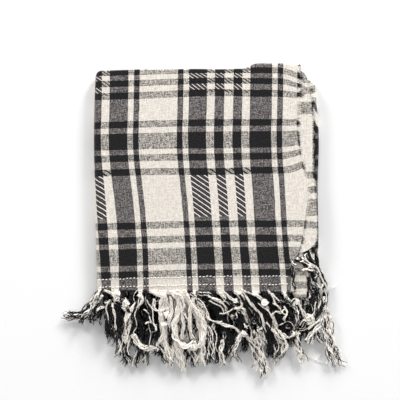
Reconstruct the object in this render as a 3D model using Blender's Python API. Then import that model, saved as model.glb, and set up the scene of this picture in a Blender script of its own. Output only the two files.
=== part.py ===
"""A square cotton plaid shawl with a knotted fringe, folded to sixteen layers and lying flat.

Metres, +Z up. The stack rests on Z = 0, its hem and fringe face -Y and its selvages face +X.
The origin is on the surface, under the middle of the whole shawl with its fringe.
"""

import math
from collections import namedtuple

import bmesh
import bpy
import numpy as np

MM = 0.001

# The cloth as it was woven and folded, in millimetres
STACK_HEIGHT = 18.4
WALL = 1.2
GAP = 0.3
LEAF = STACK_HEIGHT / 4
TURN_UNDER = 20.0

# The folded outline in millimetres: where each edge lies, at places along it
LEFT_FOLD = (  # y, x
    (-100.0, -133.4),
    (-60.0, -134.8),
    (24.0, -136.4),
    (110.0, -137.0),
    (178.0, -134.6),
    (200.0, -133.8),
)
TOP_SELVAGE = (  # y, x
    (-100.0, 106.4),
    (-75.0, 106.8),
    (-58.0, 108.6),
    (-46.0, 112.8),
    (-22.0, 120.3),
    (5.0, 124.2),
    (36.0, 127.4),
    (54.0, 125.4),
    (79.0, 122.6),
    (110.0, 119.2),
    (150.0, 118.0),
    (200.0, 117.8),
)
SECOND_SELVAGE = (  # y, x
    (-50.0, 135.6),
    (-14.0, 135.2),
    (24.0, 133.3),
    (86.0, 131.4),
    (138.0, 129.6),
    (200.0, 128.6),
)
THIRD_SELVAGE = (  # y, x
    (-100.0, 124.6),
    (-78.0, 126.4),
    (-64.0, 125.2),
    (-51.0, 120.6),
    (-30.0, 121.0),
    (80.0, 124.0),
    (200.0, 123.0),
)
RIGHT_FOLD = (  # y, x
    (-100.0, 140.0),
    (-60.0, 140.9),
    (-14.0, 140.7),
    (80.0, 139.5),
    (168.0, 137.6),
    (200.0, 136.8),
)
BACK_EDGE = (  # x, y
    (-140.0, 184.0),
    (-93.0, 185.6),
    (-31.0, 186.2),
    (37.0, 187.0),
    (56.0, 190.6),
    (83.0, 193.2),
    (105.0, 192.8),
    (142.0, 190.2),
)
LOWER_BACK = (  # x, y
    (-140.0, 180.6),
    (-93.0, 182.4),
    (-31.0, 183.4),
    (37.0, 184.2),
    (83.0, 184.6),
    (115.0, 182.0),
    (130.0, 178.0),
    (142.0, 173.0),
)
HEM = (  # x, y
    (-140.0, -88.6),
    (-20.0, -89.8),
    (60.0, -90.6),
    (142.0, -91.6),
)

# Sections of the hidden layers, in millimetres: how far each side stays inside the outline
SECTIONS = (  # z, right, back, front
    (1.55, 4.6, 0.6, 0.6),
    (2.3, 2.7, 0.0, 2.2),
    (3.4, 1.8, 0.5, 0.0),
    (4.6, 1.5, 2.8, 2.8),
    (5.8, 1.9, 0.9, 1.0),
    (6.9, 2.7, 0.4, 2.8),
    (7.65, 4.6, 0.8, 0.6),
    (7.7, 26.0, 0.8, 0.6),
    (9.2, 26.0, 3.0, 2.8),
    (9.5, 26.0, 2.4, 1.4),
    (9.55, 7.4, 2.4, 1.4),
    (10.4, 5.6, 0.2, 0.8),
    (11.5, 7.4, -0.4, 2.6),
    (12.6, 6.0, 0.4, 0.0),
    (13.5, 8.4, 2.6, 2.8),
    (13.9, 46.0, 5.4, 3.6),
    (14.5, 46.0, 1.6, 0.8),
    (15.0, 46.0, 1.4, 1.8),
    (15.05, 46.0, 3.0, 1.8),
    (16.1, 46.0, 3.0, 0.6),
    (16.8, 46.0, 3.2, 1.2),
)
FOOT_LEFT = 33.0
FOOT_RIGHT = 26.0
CAP_INSETS = (20.0, 48.0, 78.0, 108.0)
CORNER = 9.0
SIDE_POINTS = 11
CORNER_POINTS = 3

# How the stack settles: less height towards its edges, and soft mounds and hollows
EDGE_LOSS = {"left": 0.04, "right": 0.10, "back": 0.06, "front": 0.09}
MOUNDS = (  # x, y, reach along x, reach along y, change of height
    (-70.0, 70.0, 62.0, 54.0, 0.025),
    (42.0, -18.0, 46.0, 60.0, 0.030),
    (74.0, 118.0, 40.0, 48.0, 0.028),
    (-24.0, 8.0, 34.0, 70.0, -0.022),
    (-84.0, -52.0, 40.0, 26.0, 0.020),
    (8.0, 130.0, 26.0, 60.0, -0.018),
)

# The fringe, in millimetres: combs of strands, each on its own narrow strip
STRIP = 1.6
STRAND_WIDTH = 2.5
STRAND_SHARE = 0.7
STRAND_THICKNESS = 1.2
TIP_SHARE = 0.5
STRAND_STEPS = (0.0, 0.16, 0.45, 0.75, 1.0)
TIP_THINNING = 0.3
LEAD_SHARE = 0.4
CLUMP = 4
CLUMP_PULL = 0.34
SHORTEST = 0.86
SWING = 0.44
LEFT_COMB_ARC = (204.0, 100.0, 8)
SECOND_COMB = (  # x, y, z round the rounded hem corner
    (112.6, -47.3, 16.3),
    (118.0, -46.9, 16.3),
    (123.2, -45.0, 16.3),
    (128.6, -40.6, 16.3),
    (132.2, -35.8, 16.3),
    (135.4, -26.4, 16.3),
)
Comb = namedtuple("Comb", "name strands roots normals tips headings falls tip_height finish")

CREAM = (0.83, 0.80, 0.74, 1.0)
GREY = (0.22, 0.21, 0.22, 1.0)
MIXED = (0.45, 0.43, 0.41, 1.0)
DARK = (0.06, 0.06, 0.06, 1.0)


def curve(rows, at):
    """Value of a table's smooth curve at a place: each stretch eases between its two rows."""
    places = [row[0] for row in rows]
    values = [row[1] for row in rows]
    slopes = np.gradient(values, places)
    at = min(max(at, places[0]), places[-1])
    k = min(max(int(np.searchsorted(places, at)) - 1, 0), len(rows) - 2)
    span = places[k + 1] - places[k]
    t = (at - places[k]) / span
    return (
        (2 * t**3 - 3 * t**2 + 1) * values[k]
        + (t**3 - 2 * t**2 + t) * span * slopes[k]
        + (3 * t**2 - 2 * t**3) * values[k + 1]
        + (t**3 - t**2) * span * slopes[k + 1]
    )


def settled(point):
    """Where a point of the evenly folded stack lies once the cloth has settled, in metres."""
    x, y, z = point
    across = min(max((x - 2.0) / 139.0, -1.0), 1.0)
    along = min(max((y - 49.0) / 141.0, -1.0), 1.0)
    loss = EDGE_LOSS["right"] * max(across, 0.0) ** 6 + EDGE_LOSS["left"] * max(-across, 0.0) ** 6
    loss += EDGE_LOSS["back"] * max(along, 0.0) ** 6 + EDGE_LOSS["front"] * max(-along, 0.0) ** 6
    rise = 0.0
    for mx, my, rx, ry, change in MOUNDS:
        rise += change * math.exp(-(((x - mx) / rx) ** 2) - ((y - my) / ry) ** 2)
    return (x * MM, y * MM, z * (1.0 - loss + rise) * MM)


def material(name, colour, roughness):
    made = bpy.data.materials.new(name)
    made.use_nodes = True
    surface = made.node_tree.nodes["Principled BSDF"]
    surface.inputs["Base Color"].default_value = colour
    surface.inputs["Roughness"].default_value = roughness
    surface.inputs["Metallic"].default_value = 0.0
    return made


def placed(name, points, faces, finish, collection):
    """An object from points in stack millimetres, its faces turned outwards."""
    mesh = bpy.data.meshes.new(name)
    mesh.from_pydata([settled(point) for point in points], [], faces)
    form = bmesh.new()
    form.from_mesh(mesh)
    bmesh.ops.recalc_face_normals(form, faces=form.faces)
    form.to_mesh(mesh)
    form.free()
    mesh.materials.append(finish)
    piece = bpy.data.objects.new(name, mesh)
    collection.objects.link(piece)
    return piece


def wall(name, outer, inner, finish, collection):
    """A closed wall between two like grids of points."""
    rows, columns = len(outer), len(outer[0])
    points = [p for row in outer for p in row] + [p for row in inner for p in row]
    size = rows * columns
    faces = []
    for i in range(rows - 1):
        for j in range(columns - 1):
            corner = i * columns + j
            quad = (corner, corner + 1, corner + columns + 1, corner + columns)
            faces.append(quad)
            faces.append(tuple(k + size for k in reversed(quad)))
    rim = [j for j in range(columns)]
    rim += [i * columns + columns - 1 for i in range(1, rows)]
    rim += [(rows - 1) * columns + j for j in range(columns - 2, -1, -1)]
    rim += [i * columns for i in range(rows - 2, 0, -1)]
    for k, first in enumerate(rim):
        second = rim[(k + 1) % len(rim)]
        faces.append((second, first, first + size, second + size))
    return placed(name, points, faces, finish, collection)


def top_panel(collection, finish):
    """The upper sheet: the whole top, round the left fold and turned under, and over the back."""
    back_radius = LEAF / 2
    fold_radius = STACK_HEIGHT / 2
    flats = 15
    turns = 8
    shares = [0.0, 0.05] + [k / 13 for k in range(2, 14)]
    back_turns = (75.0, 55.0, 30.0, 5.0, -18.0)

    def section(k, y, lowered):
        """Place and height of a point across the sheet, so far under its outer surface."""
        left, right = curve(LEFT_FOLD, y), curve(TOP_SELVAGE, y)
        if k < flats:
            return right + (left + fold_radius - right) * k / flats, STACK_HEIGHT - lowered
        if k <= flats + turns:
            angle = math.radians(90.0 - 180.0 * (k - flats) / turns)
            away = fold_radius - lowered
            return left + fold_radius - away * math.cos(angle), fold_radius + away * math.sin(angle)
        return left + fold_radius + TURN_UNDER, lowered

    def sheet(depth):
        away = back_radius - depth
        stations = [(share, 0.0, 0.0) for share in shares]
        for turn in back_turns:
            angle = math.radians(turn)
            stations.append((1.0, away * math.cos(angle), away * (1.0 - math.sin(angle))))
        grid = []
        for k in range(flats + turns + 2):
            row = []
            for share, out, sunk in stations:
                hem, back = curve(HEM, 0.0), curve(BACK_EDGE, 0.0) - back_radius
                x, z = section(k, hem + share * (back - hem), depth + sunk)
                hem, back = curve(HEM, x), curve(BACK_EDGE, x) - back_radius
                row.append((x, hem + share * (back - hem) + out, z))
            grid.append(row)
        return grid

    return wall("top_panel", sheet(0.0), sheet(WALL), finish, collection)


def right_fold(collection, finish):
    """The lowest leaf where it folds at the right, a turned wall open to the inside."""
    radius = LEAF
    shares = [k / 12 for k in range(12)] + [0.96, 0.985, 1.0]
    angles = [90.0 - 22.5 * k for k in range(9)]
    rounding = 6.0

    def sheet(depth):
        grid = []
        for share in shares:
            row = []
            for leg in ((TURN_UNDER, 90.0), *[(0.0, a) for a in angles], (TURN_UNDER, -90.0)):
                inward, turn = leg
                angle = math.radians(turn)
                away = radius - depth
                y = curve(HEM, 130.0) + share * (curve(LOWER_BACK, 130.0) - curve(HEM, 130.0))
                x = curve(RIGHT_FOLD, y) - radius - inward
                past = max(y - (curve(LOWER_BACK, 130.0) - rounding), 0.0)
                x -= (rounding - math.sqrt(rounding**2 - past**2)) * (inward == 0.0)
                row.append((x + away * math.cos(angle) * (inward == 0.0), y, radius + away * math.sin(angle)))
            grid.append(row)
        return grid

    return wall("right_fold", sheet(0.0), sheet(WALL), finish, collection)


def second_leaf(collection, finish):
    """The next sheet down, where it shows past the top panel, with its rounded hem corner."""
    top = STACK_HEIGHT - WALL - GAP
    inner_edge = 95.4
    corner = ((-47.0, 113.4), (-46.6, 117.4), (-44.8, 122.6), (-40.6, 128.0), (-35.6, 131.6), (-26.0, 134.6))
    edge = list(corner)
    for k in range(13):
        y = -14.0 + k * (curve(LOWER_BACK, 120.0) + 14.0) / 12
        edge.append((y, curve(SECOND_SELVAGE, y) - (2.6 if k == 12 else 0.0)))

    def sheet(height):
        inner = [(inner_edge, y, height) for y, _ in edge]
        outer = [(x, y, height) for y, x in edge]
        return [inner, outer]

    return wall("second_leaf", sheet(top), sheet(top - WALL), finish, collection)


def third_leaf(collection, finish):
    """The fold below, which shows at the front right corner."""
    top = STACK_HEIGHT - 2 * (WALL + GAP)
    inner_edge = 95.4
    first, last = curve(HEM, 110.0) + 0.6, curve(LOWER_BACK, 120.0) - 2.0
    places = [first, first + 4.0, -78.0, -70.0, -64.0, -57.0, -51.0, -30.0, 20.0, 80.0, 140.0, last]

    def sheet(height):
        inner = [(inner_edge, y, height) for y in places]
        outer = []
        for y in places:
            rounding = 3.0 if y in (first, last) else 0.0
            outer.append((curve(THIRD_SELVAGE, y) - rounding, y, height))
        return [inner, outer]

    return wall("third_leaf", sheet(top), sheet(top - WALL), finish, collection)


def outline_shares():
    """Points round a rounded square, as shares across and along."""
    radius = CORNER / 275.0
    shares = []
    for side in range(4):
        run = [radius + (1 - 2 * radius) * k / (SIDE_POINTS - 1) for k in range(SIDE_POINTS)]
        turn = math.radians(90.0) * side
        for r in run:
            shares.append((r - 0.5, -0.5, turn))
        for k in range(1, CORNER_POINTS + 1):
            a = math.radians(-90.0 + 90.0 * k / (CORNER_POINTS + 1))
            shares.append((0.5 - radius + radius * math.cos(a), -0.5 + radius + radius * math.sin(a), turn))
    return [
        (0.5 + p * math.cos(t) - q * math.sin(t), 0.5 + p * math.sin(t) + q * math.cos(t))
        for p, q, t in shares
    ]


def hidden_layers(collection, finish):
    """All the layers inside, in one rounded solid that is layered at its edges."""
    shares = outline_shares()
    middle = STACK_HEIGHT / 2
    inner_radius = middle - WALL - GAP
    foot = (
        (0.0, FOOT_LEFT, FOOT_RIGHT, 6.4, 3.0),
        (1.45, FOOT_LEFT, FOOT_RIGHT, 5.2, 0.8),
    )
    sections = list(foot)
    for z, right, back, front in SECTIONS:
        rise = min(abs(z - middle), inner_radius)
        left = middle - math.sqrt(inner_radius**2 - rise**2)
        sections.append((z, left, right, back, front))
    z, left, right, back, front = sections[-1]
    for inset in CAP_INSETS:
        sections.append((z, left + inset, right + 0.72 * inset, back + inset, front + inset))

    def ring(z, left, right, back, front):
        points = []
        for a, b in shares:
            y = -90.0 + 276.0 * b
            start, end = curve(LEFT_FOLD, y) + left, curve(RIGHT_FOLD, y) - right
            x = start + a * (end - start)
            back_line = LOWER_BACK if z < 3 * LEAF + 0.08 else BACK_EDGE
            low, high = curve(HEM, x) + front, curve(back_line, x) - back
            points.append((x, low + b * (high - low), z))
        return points

    rings = [ring(*section) for section in sections]
    count = len(shares)
    points = [p for one in rings for p in one]
    faces = []
    for k in range(len(rings) - 1):
        for j in range(count):
            n = (j + 1) % count
            faces.append((k * count + j, k * count + n, (k + 1) * count + n, (k + 1) * count + j))
    faces.append(tuple(range(count)))
    faces.append(tuple(range((len(rings) - 1) * count, len(rings) * count)))
    return placed("folded_layers", points, faces, finish, collection)


def spread(rows, share):
    """A point along a short list of points, by its share of the list."""
    place = share * (len(rows) - 1)
    k = min(int(place), len(rows) - 2)
    t = place - k
    return tuple(a + (b - a) * t for a, b in zip(rows[k], rows[k + 1]))


def comb(row, collection, finish, chance):
    """A narrow strip with strands that stand apart beyond it."""
    points, faces, edges = [], [], []
    count = row.strands
    for k in range(count + 1):
        x, y, z = spread(row.roots, k / count)
        nx, nz = spread(row.normals, k / count)
        heading = math.radians(spread(row.headings, k / count)[0])
        near = [(x + nx * side, y, z + nz * side) for side in (WALL / 2, -WALL / 2)]
        far = [(px + math.sin(heading) * STRIP, py - math.cos(heading) * STRIP, pz) for px, py, pz in near]
        edges.append(len(points))
        points += [near[0], near[1], far[1], far[0]]
    for a, b in zip(edges, edges[1:]):
        faces += [(a, b, b + 1, a + 1), (a + 1, b + 1, b + 2, a + 2), (a, a + 3, b + 3, b)]
    first, last = edges[0], edges[-1]
    faces += [(first, first + 1, first + 2, first + 3), (last + 3, last + 2, last + 1, last)]
    for k, (a, b) in enumerate(zip(edges, edges[1:])):
        share = (k + 0.5) / count
        clump = min((k // CLUMP + 0.5) * CLUMP / count, 1.0)
        tip = spread(row.tips, min(max(share + CLUMP_PULL * (clump - share), 0.0), 1.0))
        heading = math.radians(spread(row.headings, share)[0])
        root = [(a + 3), (b + 3), (b + 2), (a + 2)]
        step = [points[b + 3][c] - points[a + 3][c] for c in range(3)]
        forward = step[0] * math.sin(heading) - step[1] * math.cos(heading)
        apart = math.sqrt(sum(part * part for part in step) - forward**2)
        width = min(STRAND_WIDTH, STRAND_SHARE * apart)
        tilt = math.atan2(step[2], step[0])
        rings = strand([points[i] for i in root], tip, heading, tilt, width, row, chance)
        previous = root
        for ring in rings:
            start = len(points)
            points += ring
            for c in range(4):
                d = (c + 1) % 4
                faces.append((previous[c], previous[d], start + d, start + c))
            previous = [start, start + 1, start + 2, start + 3]
        faces.append(tuple(previous))
    return placed(row.name, points, faces, finish, collection)


def strand(root, tip, heading, root_tilt, root_width, row, chance):
    """Four-sided rings of one strand, from its root to its tip, as it falls to the surface."""
    start = [sum(corner[c] for corner in root) / 4 for c in range(3)]
    reach = math.hypot(tip[0] - start[0], tip[1] - start[1]) * LEAD_SHARE
    lead = (start[0] + math.sin(heading) * reach, start[1] - math.cos(heading) * reach)
    length = SHORTEST + (1.0 - SHORTEST) * chance.random()
    swing = SWING * root_width * (chance.random() - 0.5)
    rings = []
    for n, step in enumerate(STRAND_STEPS[1:]):
        t = step * length
        place = [(1 - t) ** 2 * start[c] + 2 * t * (1 - t) * lead[c] + t * t * tip[c] for c in (0, 1)]
        way = [(1 - t) * (lead[c] - start[c]) + t * (tip[c] - lead[c]) for c in (0, 1)]
        size = math.hypot(*way)
        side = (-way[1] / size, way[0] / size)
        drift = swing * math.sin(math.pi * t)
        fall = float(np.interp(t, STRAND_STEPS, (1.0, *row.falls, 0.0)))
        z = row.tip_height + (start[2] - row.tip_height) * fall
        width = root_width * (1.0 - (1.0 - TIP_SHARE) * t) / 2
        half = STRAND_THICKNESS * (1.0 - TIP_THINNING * t) / 2
        tilt = root_tilt * max(0.0, 1.0 - n / 2.0)
        ring = []
        for across, up in ((-width, half), (width, half), (width, -half), (-width, -half)):
            out = across * math.cos(tilt) - up * math.sin(tilt) + drift
            rise = across * math.sin(tilt) + up * math.cos(tilt)
            ring.append((place[0] + side[0] * out, place[1] + side[1] * out, z + rise))
        rings.append(ring)
    return rings


def arc(centre_x, y, centre_z, radius, first, last, count):
    """Points and normals round a fold, seen from the front."""
    points, normals = [], []
    for k in range(count + 1):
        angle = math.radians(first + (last - first) * k / count)
        points.append((centre_x + radius * math.cos(angle), y, centre_z + radius * math.sin(angle)))
        normals.append((math.cos(angle), math.sin(angle)))
    return tuple(points), tuple(normals)


def fringes(collection, finishes):
    """Every comb of the fringe, from the top hem down."""
    chance = np.random.default_rng(11)
    flat = ((0.0, 1.0), (0.0, 1.0))
    fold_radius = STACK_HEIGHT / 2

    def hem_line(first, last, z, pieces=6):
        places = [first + (last - first) * k / pieces for k in range(pieces + 1)]
        return tuple((x, curve(HEM, x) - GAP, z) for x in places)

    round_points, round_normals = arc(
        curve(LEFT_FOLD, -89.0) + fold_radius,
        curve(HEM, -134.0) - GAP,
        fold_radius,
        fold_radius - WALL / 2,
        *LEFT_COMB_ARC,
    )
    rows = (
        Comb("fringe_top", 38, hem_line(-121.0, 104.0, STACK_HEIGHT - WALL / 2), flat,
             ((-118.0, -178.0), (-40.0, -187.0), (40.0, -185.0), (96.0, -190.0)),
             ((-6.0,), (8.0,)), (0.92, 0.62, 0.29), 1.6, "mixed"),
        Comb("fringe_middle", 30, hem_line(-116.0, 98.0, 12.6), flat,
             ((-122.0, -160.0), (-30.0, -168.0), (50.0, -164.0), (84.0, -168.0)),
             ((-8.0,), (0.0,)), (0.84, 0.47, 0.19), 1.3, "dark"),
        Comb("fringe_low", 26, hem_line(-112.0, 96.0, 3.4), flat,
             ((-126.0, -138.0), (-20.0, -146.0), (90.0, -142.0)),
             ((-10.0,), (0.0,)), (0.82, 0.45, 0.18), 1.2, "mixed"),
        Comb("fringe_left", 8, round_points, round_normals,
             ((-183.0, -114.0), (-168.0, -130.0), (-152.0, -134.0), (-142.0, -142.0)),
             ((-62.0,), (-22.0,)), (0.9, 0.55, 0.25), 1.4, "mixed"),
        Comb("fringe_second", 8, SECOND_COMB, flat,
             ((147.0, -168.0), (160.0, -184.0), (174.6, -184.0)),
             ((48.0,), (58.0,)), (1.04, 0.66, 0.2), 1.4, "mixed"),
        Comb("fringe_corner", 8, hem_line(108.0, 130.0, 2 * LEAF - WALL / 2), flat,
             ((112.0, -190.0), (126.0, -199.0), (139.0, -186.0)),
             ((4.0,), (12.0,)), (0.84, 0.43, 0.15), 1.3, "mixed"),
    )
    for row in rows:
        comb(row, collection, finishes[row.finish], chance)


def main():
    for item in list(bpy.data.objects):
        bpy.data.objects.remove(item, do_unlink=True)
    collection = bpy.data.collections.new("shawl")
    bpy.context.scene.collection.children.link(collection)
    finishes = {
        "cream": material("cream_cotton", CREAM, 0.9),
        "grey": material("grey_plaid", GREY, 0.9),
        "mixed": material("mixed_yarn", MIXED, 0.95),
        "dark": material("dark_yarn", DARK, 0.95),
    }
    hidden_layers(collection, finishes["grey"])
    top_panel(collection, finishes["cream"])
    second_leaf(collection, finishes["cream"])
    third_leaf(collection, finishes["grey"])
    right_fold(collection, finishes["grey"])
    fringes(collection, finishes)


main()
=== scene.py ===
"""The looks of the folded plaid shawl: its cloth, its knotted fringe, the floor and the light.

Points are worked out in millimetres of the evenly folded stack, as in the part's own source, and
settled() takes them to metres. The cloth is one long sheet: across, it runs from the right selvage
over leaf 1, round the left fold, along leaf 4, round the right fold, along leaf 3, round the inner
left fold and along leaf 2. Each leaf has four layers: "a" is the outer one, then X, Y and Z.
"""

import math
from collections import namedtuple

import bpy
import numpy as np
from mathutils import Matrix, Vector


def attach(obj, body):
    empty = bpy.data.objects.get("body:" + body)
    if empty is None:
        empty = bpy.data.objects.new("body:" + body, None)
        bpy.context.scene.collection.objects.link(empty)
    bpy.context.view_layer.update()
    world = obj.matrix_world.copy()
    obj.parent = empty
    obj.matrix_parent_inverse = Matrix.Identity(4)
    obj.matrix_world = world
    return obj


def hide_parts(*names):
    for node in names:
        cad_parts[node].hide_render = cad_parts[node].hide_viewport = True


MM = 0.001
STACK_HEIGHT = 18.4
LAYER = 1.15
HALF_CLOTH = 0.37
PACKET_MIDDLE = (2.0, 49.0)
PACKET_HALF = (139.0, 141.0)
EDGE_POWER = 6
CREASE_BOW = 0.12
CREASE_ENDS = 4.0
TINY = 1e-9
SHARP_ANGLE = 60.0

# The folded outline in millimetres, refined from the one in the part's source
LEFT_FOLD = (  # y, x
    (-100, -133.4), (-60, -134.8), (24, -136.8), (110, -138.2), (178, -136.4), (200, -135),
)
TOP_SELVAGE = (  # y, x
    (-100, 106.4), (-75, 106.8), (-58, 108.6), (-46, 112.8), (-22, 120.3), (5, 124.2), (36, 126.6),
    (54, 123), (66, 120.4), (79, 117.6), (98, 114.8), (125, 113.4), (150, 114), (200, 115),
)
SECOND_SELVAGE = (  # y, x, with the rounded corner at the hem
    (-47, 113.4), (-46.6, 118.4), (-44.8, 124.6), (-40.6, 130.6), (-35.6, 134.4), (-26, 137.8),
    (-14, 138.6), (24, 138), (44, 136.2), (62, 133.6), (86, 133), (138, 133.2), (156, 132.6),
    (170, 130), (200, 124),
)
THIRD_SELVAGE = (  # y, x
    (-100, 124.6), (-78, 126.4), (-64, 125.2), (-51, 120.6), (-30, 121), (80, 122), (200, 119),
)
RIGHT_FOLD = (  # y, x
    (-100, 140), (-60, 140.9), (-14, 141.6), (24, 141), (60, 140.8), (86, 141.6), (113, 142),
    (145, 141), (168, 138.6), (200, 136.8),
)
BACK_EDGE = (  # x, y
    (-140, 184), (-93, 185.6), (-31, 186.2), (37, 186.8), (50, 187.4), (58, 191.4), (83, 193.2),
    (105, 192.8), (142, 190.2),
)
INNER_BACK = (  # x, y
    (-140, 182.4), (-93, 184), (37, 185.4), (60, 189), (100, 189.4), (112, 188.4), (118, 186),
    (124, 181), (130, 172.6), (136, 161),
)
LOWER_BACK = (  # x, y
    (-140, 180.6), (-93, 182.4), (-31, 183.4), (37, 184.2), (83, 184.6), (115, 179), (125, 174.4),
    (132, 171.4), (138, 168.4), (142, 165.4),
)
HEM = (  # x, y
    (-140, -88.6), (-20, -89.8), (60, -90.6), (142, -91.6),
)
SECOND_HEM = (  # x, y
    (-140, -85.6), (40, -84), (80, -64), (100, -47), (113, -43), (142, -42.4),
)

# How the stack settles: less height towards its edges, soft mounds, hollows and creases
EDGE_LOSS = {"left": 0.04, "right": 0.10, "back": 0.06, "front": 0.09}
MOUNDS = (  # x, y, reach along x, reach along y, change of height
    (-70, 70, 62, 54, 0.025),
    (42, -18, 46, 60, 0.030),
    (74, 118, 40, 48, 0.028),
    (-24, 8, 34, 70, -0.022),
    (-84, -52, 40, 26, 0.020),
    (8, 130, 26, 60, -0.018),
)
CREASES = (  # from x, y, to x, y, half width, change of height
    (-118, 30, -96, -78, 7, 0.020),
    (-120, 160, -112, 60, 6, -0.016),
    (20, -84, 34, -20, 6, -0.018),
    (96, 60, 108, -60, 7, 0.024),
    (60, 182, 66, 96, 8, 0.016),
    (-52, -84, -60, -30, 5, -0.014),
    (-20, 180, -34, 104, 6, -0.014),
    (100, 184, 112, 120, 6, -0.018),
)
CORNERS = (  # corner x, y, radius, towards +x or -x, towards +y or -y
    (-137, 185, 9, -1, 1),
    (-134.6, -90, 4, -1, -1),
    (138.4, 175, 9, 1, 1),
    (141, -92, 5, 1, -1),
)

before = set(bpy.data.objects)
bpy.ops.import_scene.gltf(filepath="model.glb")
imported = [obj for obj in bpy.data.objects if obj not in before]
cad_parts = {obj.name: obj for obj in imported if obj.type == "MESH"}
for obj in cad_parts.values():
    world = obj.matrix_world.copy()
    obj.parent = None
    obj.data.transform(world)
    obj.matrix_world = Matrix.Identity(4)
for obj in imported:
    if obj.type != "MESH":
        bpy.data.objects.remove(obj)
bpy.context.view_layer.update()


def hermite(t, span, first, last, first_slope, last_slope):
    """A cubic stretch from one value to another, with these slopes at its ends."""
    return (
        (2 * t**3 - 3 * t**2 + 1) * first
        + (t**3 - 2 * t**2 + t) * span * first_slope
        + (3 * t**2 - 2 * t**3) * last
        + (t**3 - t**2) * span * last_slope
    )


def curve(rows, at):
    """Values of a table's smooth curve: each stretch eases between its two rows."""
    places, values = np.array(rows, float).T
    slopes = np.gradient(values, places)
    at = np.clip(at, places[0], places[-1])
    k = np.clip(np.searchsorted(places, at) - 1, 0, len(rows) - 2)
    span = places[k + 1] - places[k]
    t = (at - places[k]) / span
    return hermite(t, span, values[k], values[k + 1], slopes[k], slopes[k + 1])


def share_of(value):
    """The value, kept between 0 and 1."""
    return np.clip(value, 0.0, 1.0)


def unit(vectors):
    """The vectors at length one."""
    return vectors / np.maximum(np.linalg.norm(vectors, axis=-1, keepdims=True), TINY)


def crease_rise(x, y):
    """The change of height that the soft creases make, as a share."""
    rise = np.zeros(np.shape(x))
    for x0, y0, x1, y1, width, change in CREASES:
        ex, ey = x1 - x0, y1 - y0
        long = math.hypot(ex, ey)
        along = ((x - x0) * ex + (y - y0) * ey) / long**2
        bow = CREASE_BOW * long * np.sin(np.pi * share_of(along))
        across = ((x - x0) * ey - (y - y0) * ex) / long - bow
        fade = share_of(along * CREASE_ENDS) * share_of((1.0 - along) * CREASE_ENDS)
        fade = fade * fade * (3.0 - 2.0 * fade)
        rise += change * fade * np.exp(-((across / width) ** 2))
    return rise


def rounded(x, y):
    """Plan points with the packet's corners drawn in to round ones."""
    for cx, cy, radius, sx, sy in CORNERS:
        p = np.clip(sx * (x - cx) + radius, 0.0, radius) / radius
        q = np.clip(sy * (y - cy) + radius, 0.0, radius) / radius
        x = x - sx * radius * (p - p * np.sqrt(1.0 - q**2 / 2.0))
        y = y - sy * radius * (q - q * np.sqrt(1.0 - p**2 / 2.0))
    return x, y


def settled(points):
    """Where points of the evenly folded stack lie once the cloth has settled, in metres."""
    x, y, z = points[..., 0], points[..., 1], points[..., 2]
    across = np.clip((x - PACKET_MIDDLE[0]) / PACKET_HALF[0], -1.0, 1.0)
    along = np.clip((y - PACKET_MIDDLE[1]) / PACKET_HALF[1], -1.0, 1.0)
    loss = 0.0
    for side, way in (("right", across), ("left", -across), ("back", along), ("front", -along)):
        loss = loss + EDGE_LOSS[side] * np.maximum(way, 0.0) ** EDGE_POWER
    rise = crease_rise(x, y)
    for mx, my, rx, ry, change in MOUNDS:
        rise += change * np.exp(-(((x - mx) / rx) ** 2) - ((y - my) / ry) ** 2)
    return np.stack((x, y, z * (1.0 - loss + rise)), axis=-1) * MM


# The cloth folded across: leaves and folds

LEFT_MIDDLE = STACK_HEIGHT / 2
LEFT_RADIUS = 6.0 * LAYER
SMALL_RADIUS = 2.0 * LAYER
RIGHT_MIDDLE = 4.0 * LAYER
FOLD_REACH = {"left": 8.0 * LAYER, "right": 4.0 * LAYER}
ACROSS_STEPS = 112
FOURTH_SHARES = (
    0, 0.02, 0.05, 0.1, 0.18, 0.28, 0.4, 0.52, 0.64, 0.75, 0.84, 0.9, 0.94, 0.97, 0.985,
)
THIRD_SHARES = (1, 0.985, 0.97, 0.955, 0.94, 0.92, 0.88, 0.8, 0.65, 0.45, 0.25, 0.1, 0.04)
SECOND_SHARES = (
    0, 0.04, 0.1, 0.25, 0.45, 0.65, 0.8, 0.88, 0.92, 0.94, 0.96, 0.97, 0.98, 0.99, 1,
)
Across = namedtuple("Across", "leaf share height radius sense angle")


def across_stations():
    """Places across the whole cloth, from the upper selvage to the lower one."""
    left_fold = (LEFT_MIDDLE, LEFT_RADIUS, 1.0)
    right_fold = (RIGHT_MIDDLE, SMALL_RADIUS, 1.0)
    inner_fold = (LEFT_MIDDLE, SMALL_RADIUS, -1.0)
    rows = [Across(1, 1.0 - k / ACROSS_STEPS, *left_fold, 90.0) for k in range(ACROSS_STEPS)]
    rows += [Across(1, 0.0, *left_fold, 90.0 + 18.0 * k) for k in range(10)]
    rows += [Across(4, share, *left_fold, 270.0) for share in FOURTH_SHARES]
    rows += [Across(4, 1.0, *right_fold, -90.0 + 18.0 * k) for k in range(10)]
    rows += [Across(3, share, *right_fold, 90.0) for share in THIRD_SHARES]
    rows += [Across(3, 0.0, *inner_fold, 270.0 - 22.5 * k) for k in range(8)]
    rows += [Across(2, share, *inner_fold, 90.0) for share in SECOND_SHARES]
    return rows


# The cloth folded along: layers and folds
ALONG_STEPS = 118
Y_SHARES = (
    0.01, 0.02, 0.035, 0.05, 0.07, 0.1, 0.14, 0.22, 0.35, 0.5, 0.65, 0.8, 0.92, 0.96, 0.985,
)
Z_SHARES = (
    *(1.0 - k / 24 for k in range(1, 21)),
    0.15, 0.135, 0.12, 0.105, 0.09, 0.075, 0.06, 0.048, 0.038, 0.03, 0.022, 0.015, 0.009, 0.005,
    0.0025, 0.001, 0,
)
Along = namedtuple("Along", "layer share offset away out_offset out_away blend")


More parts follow.
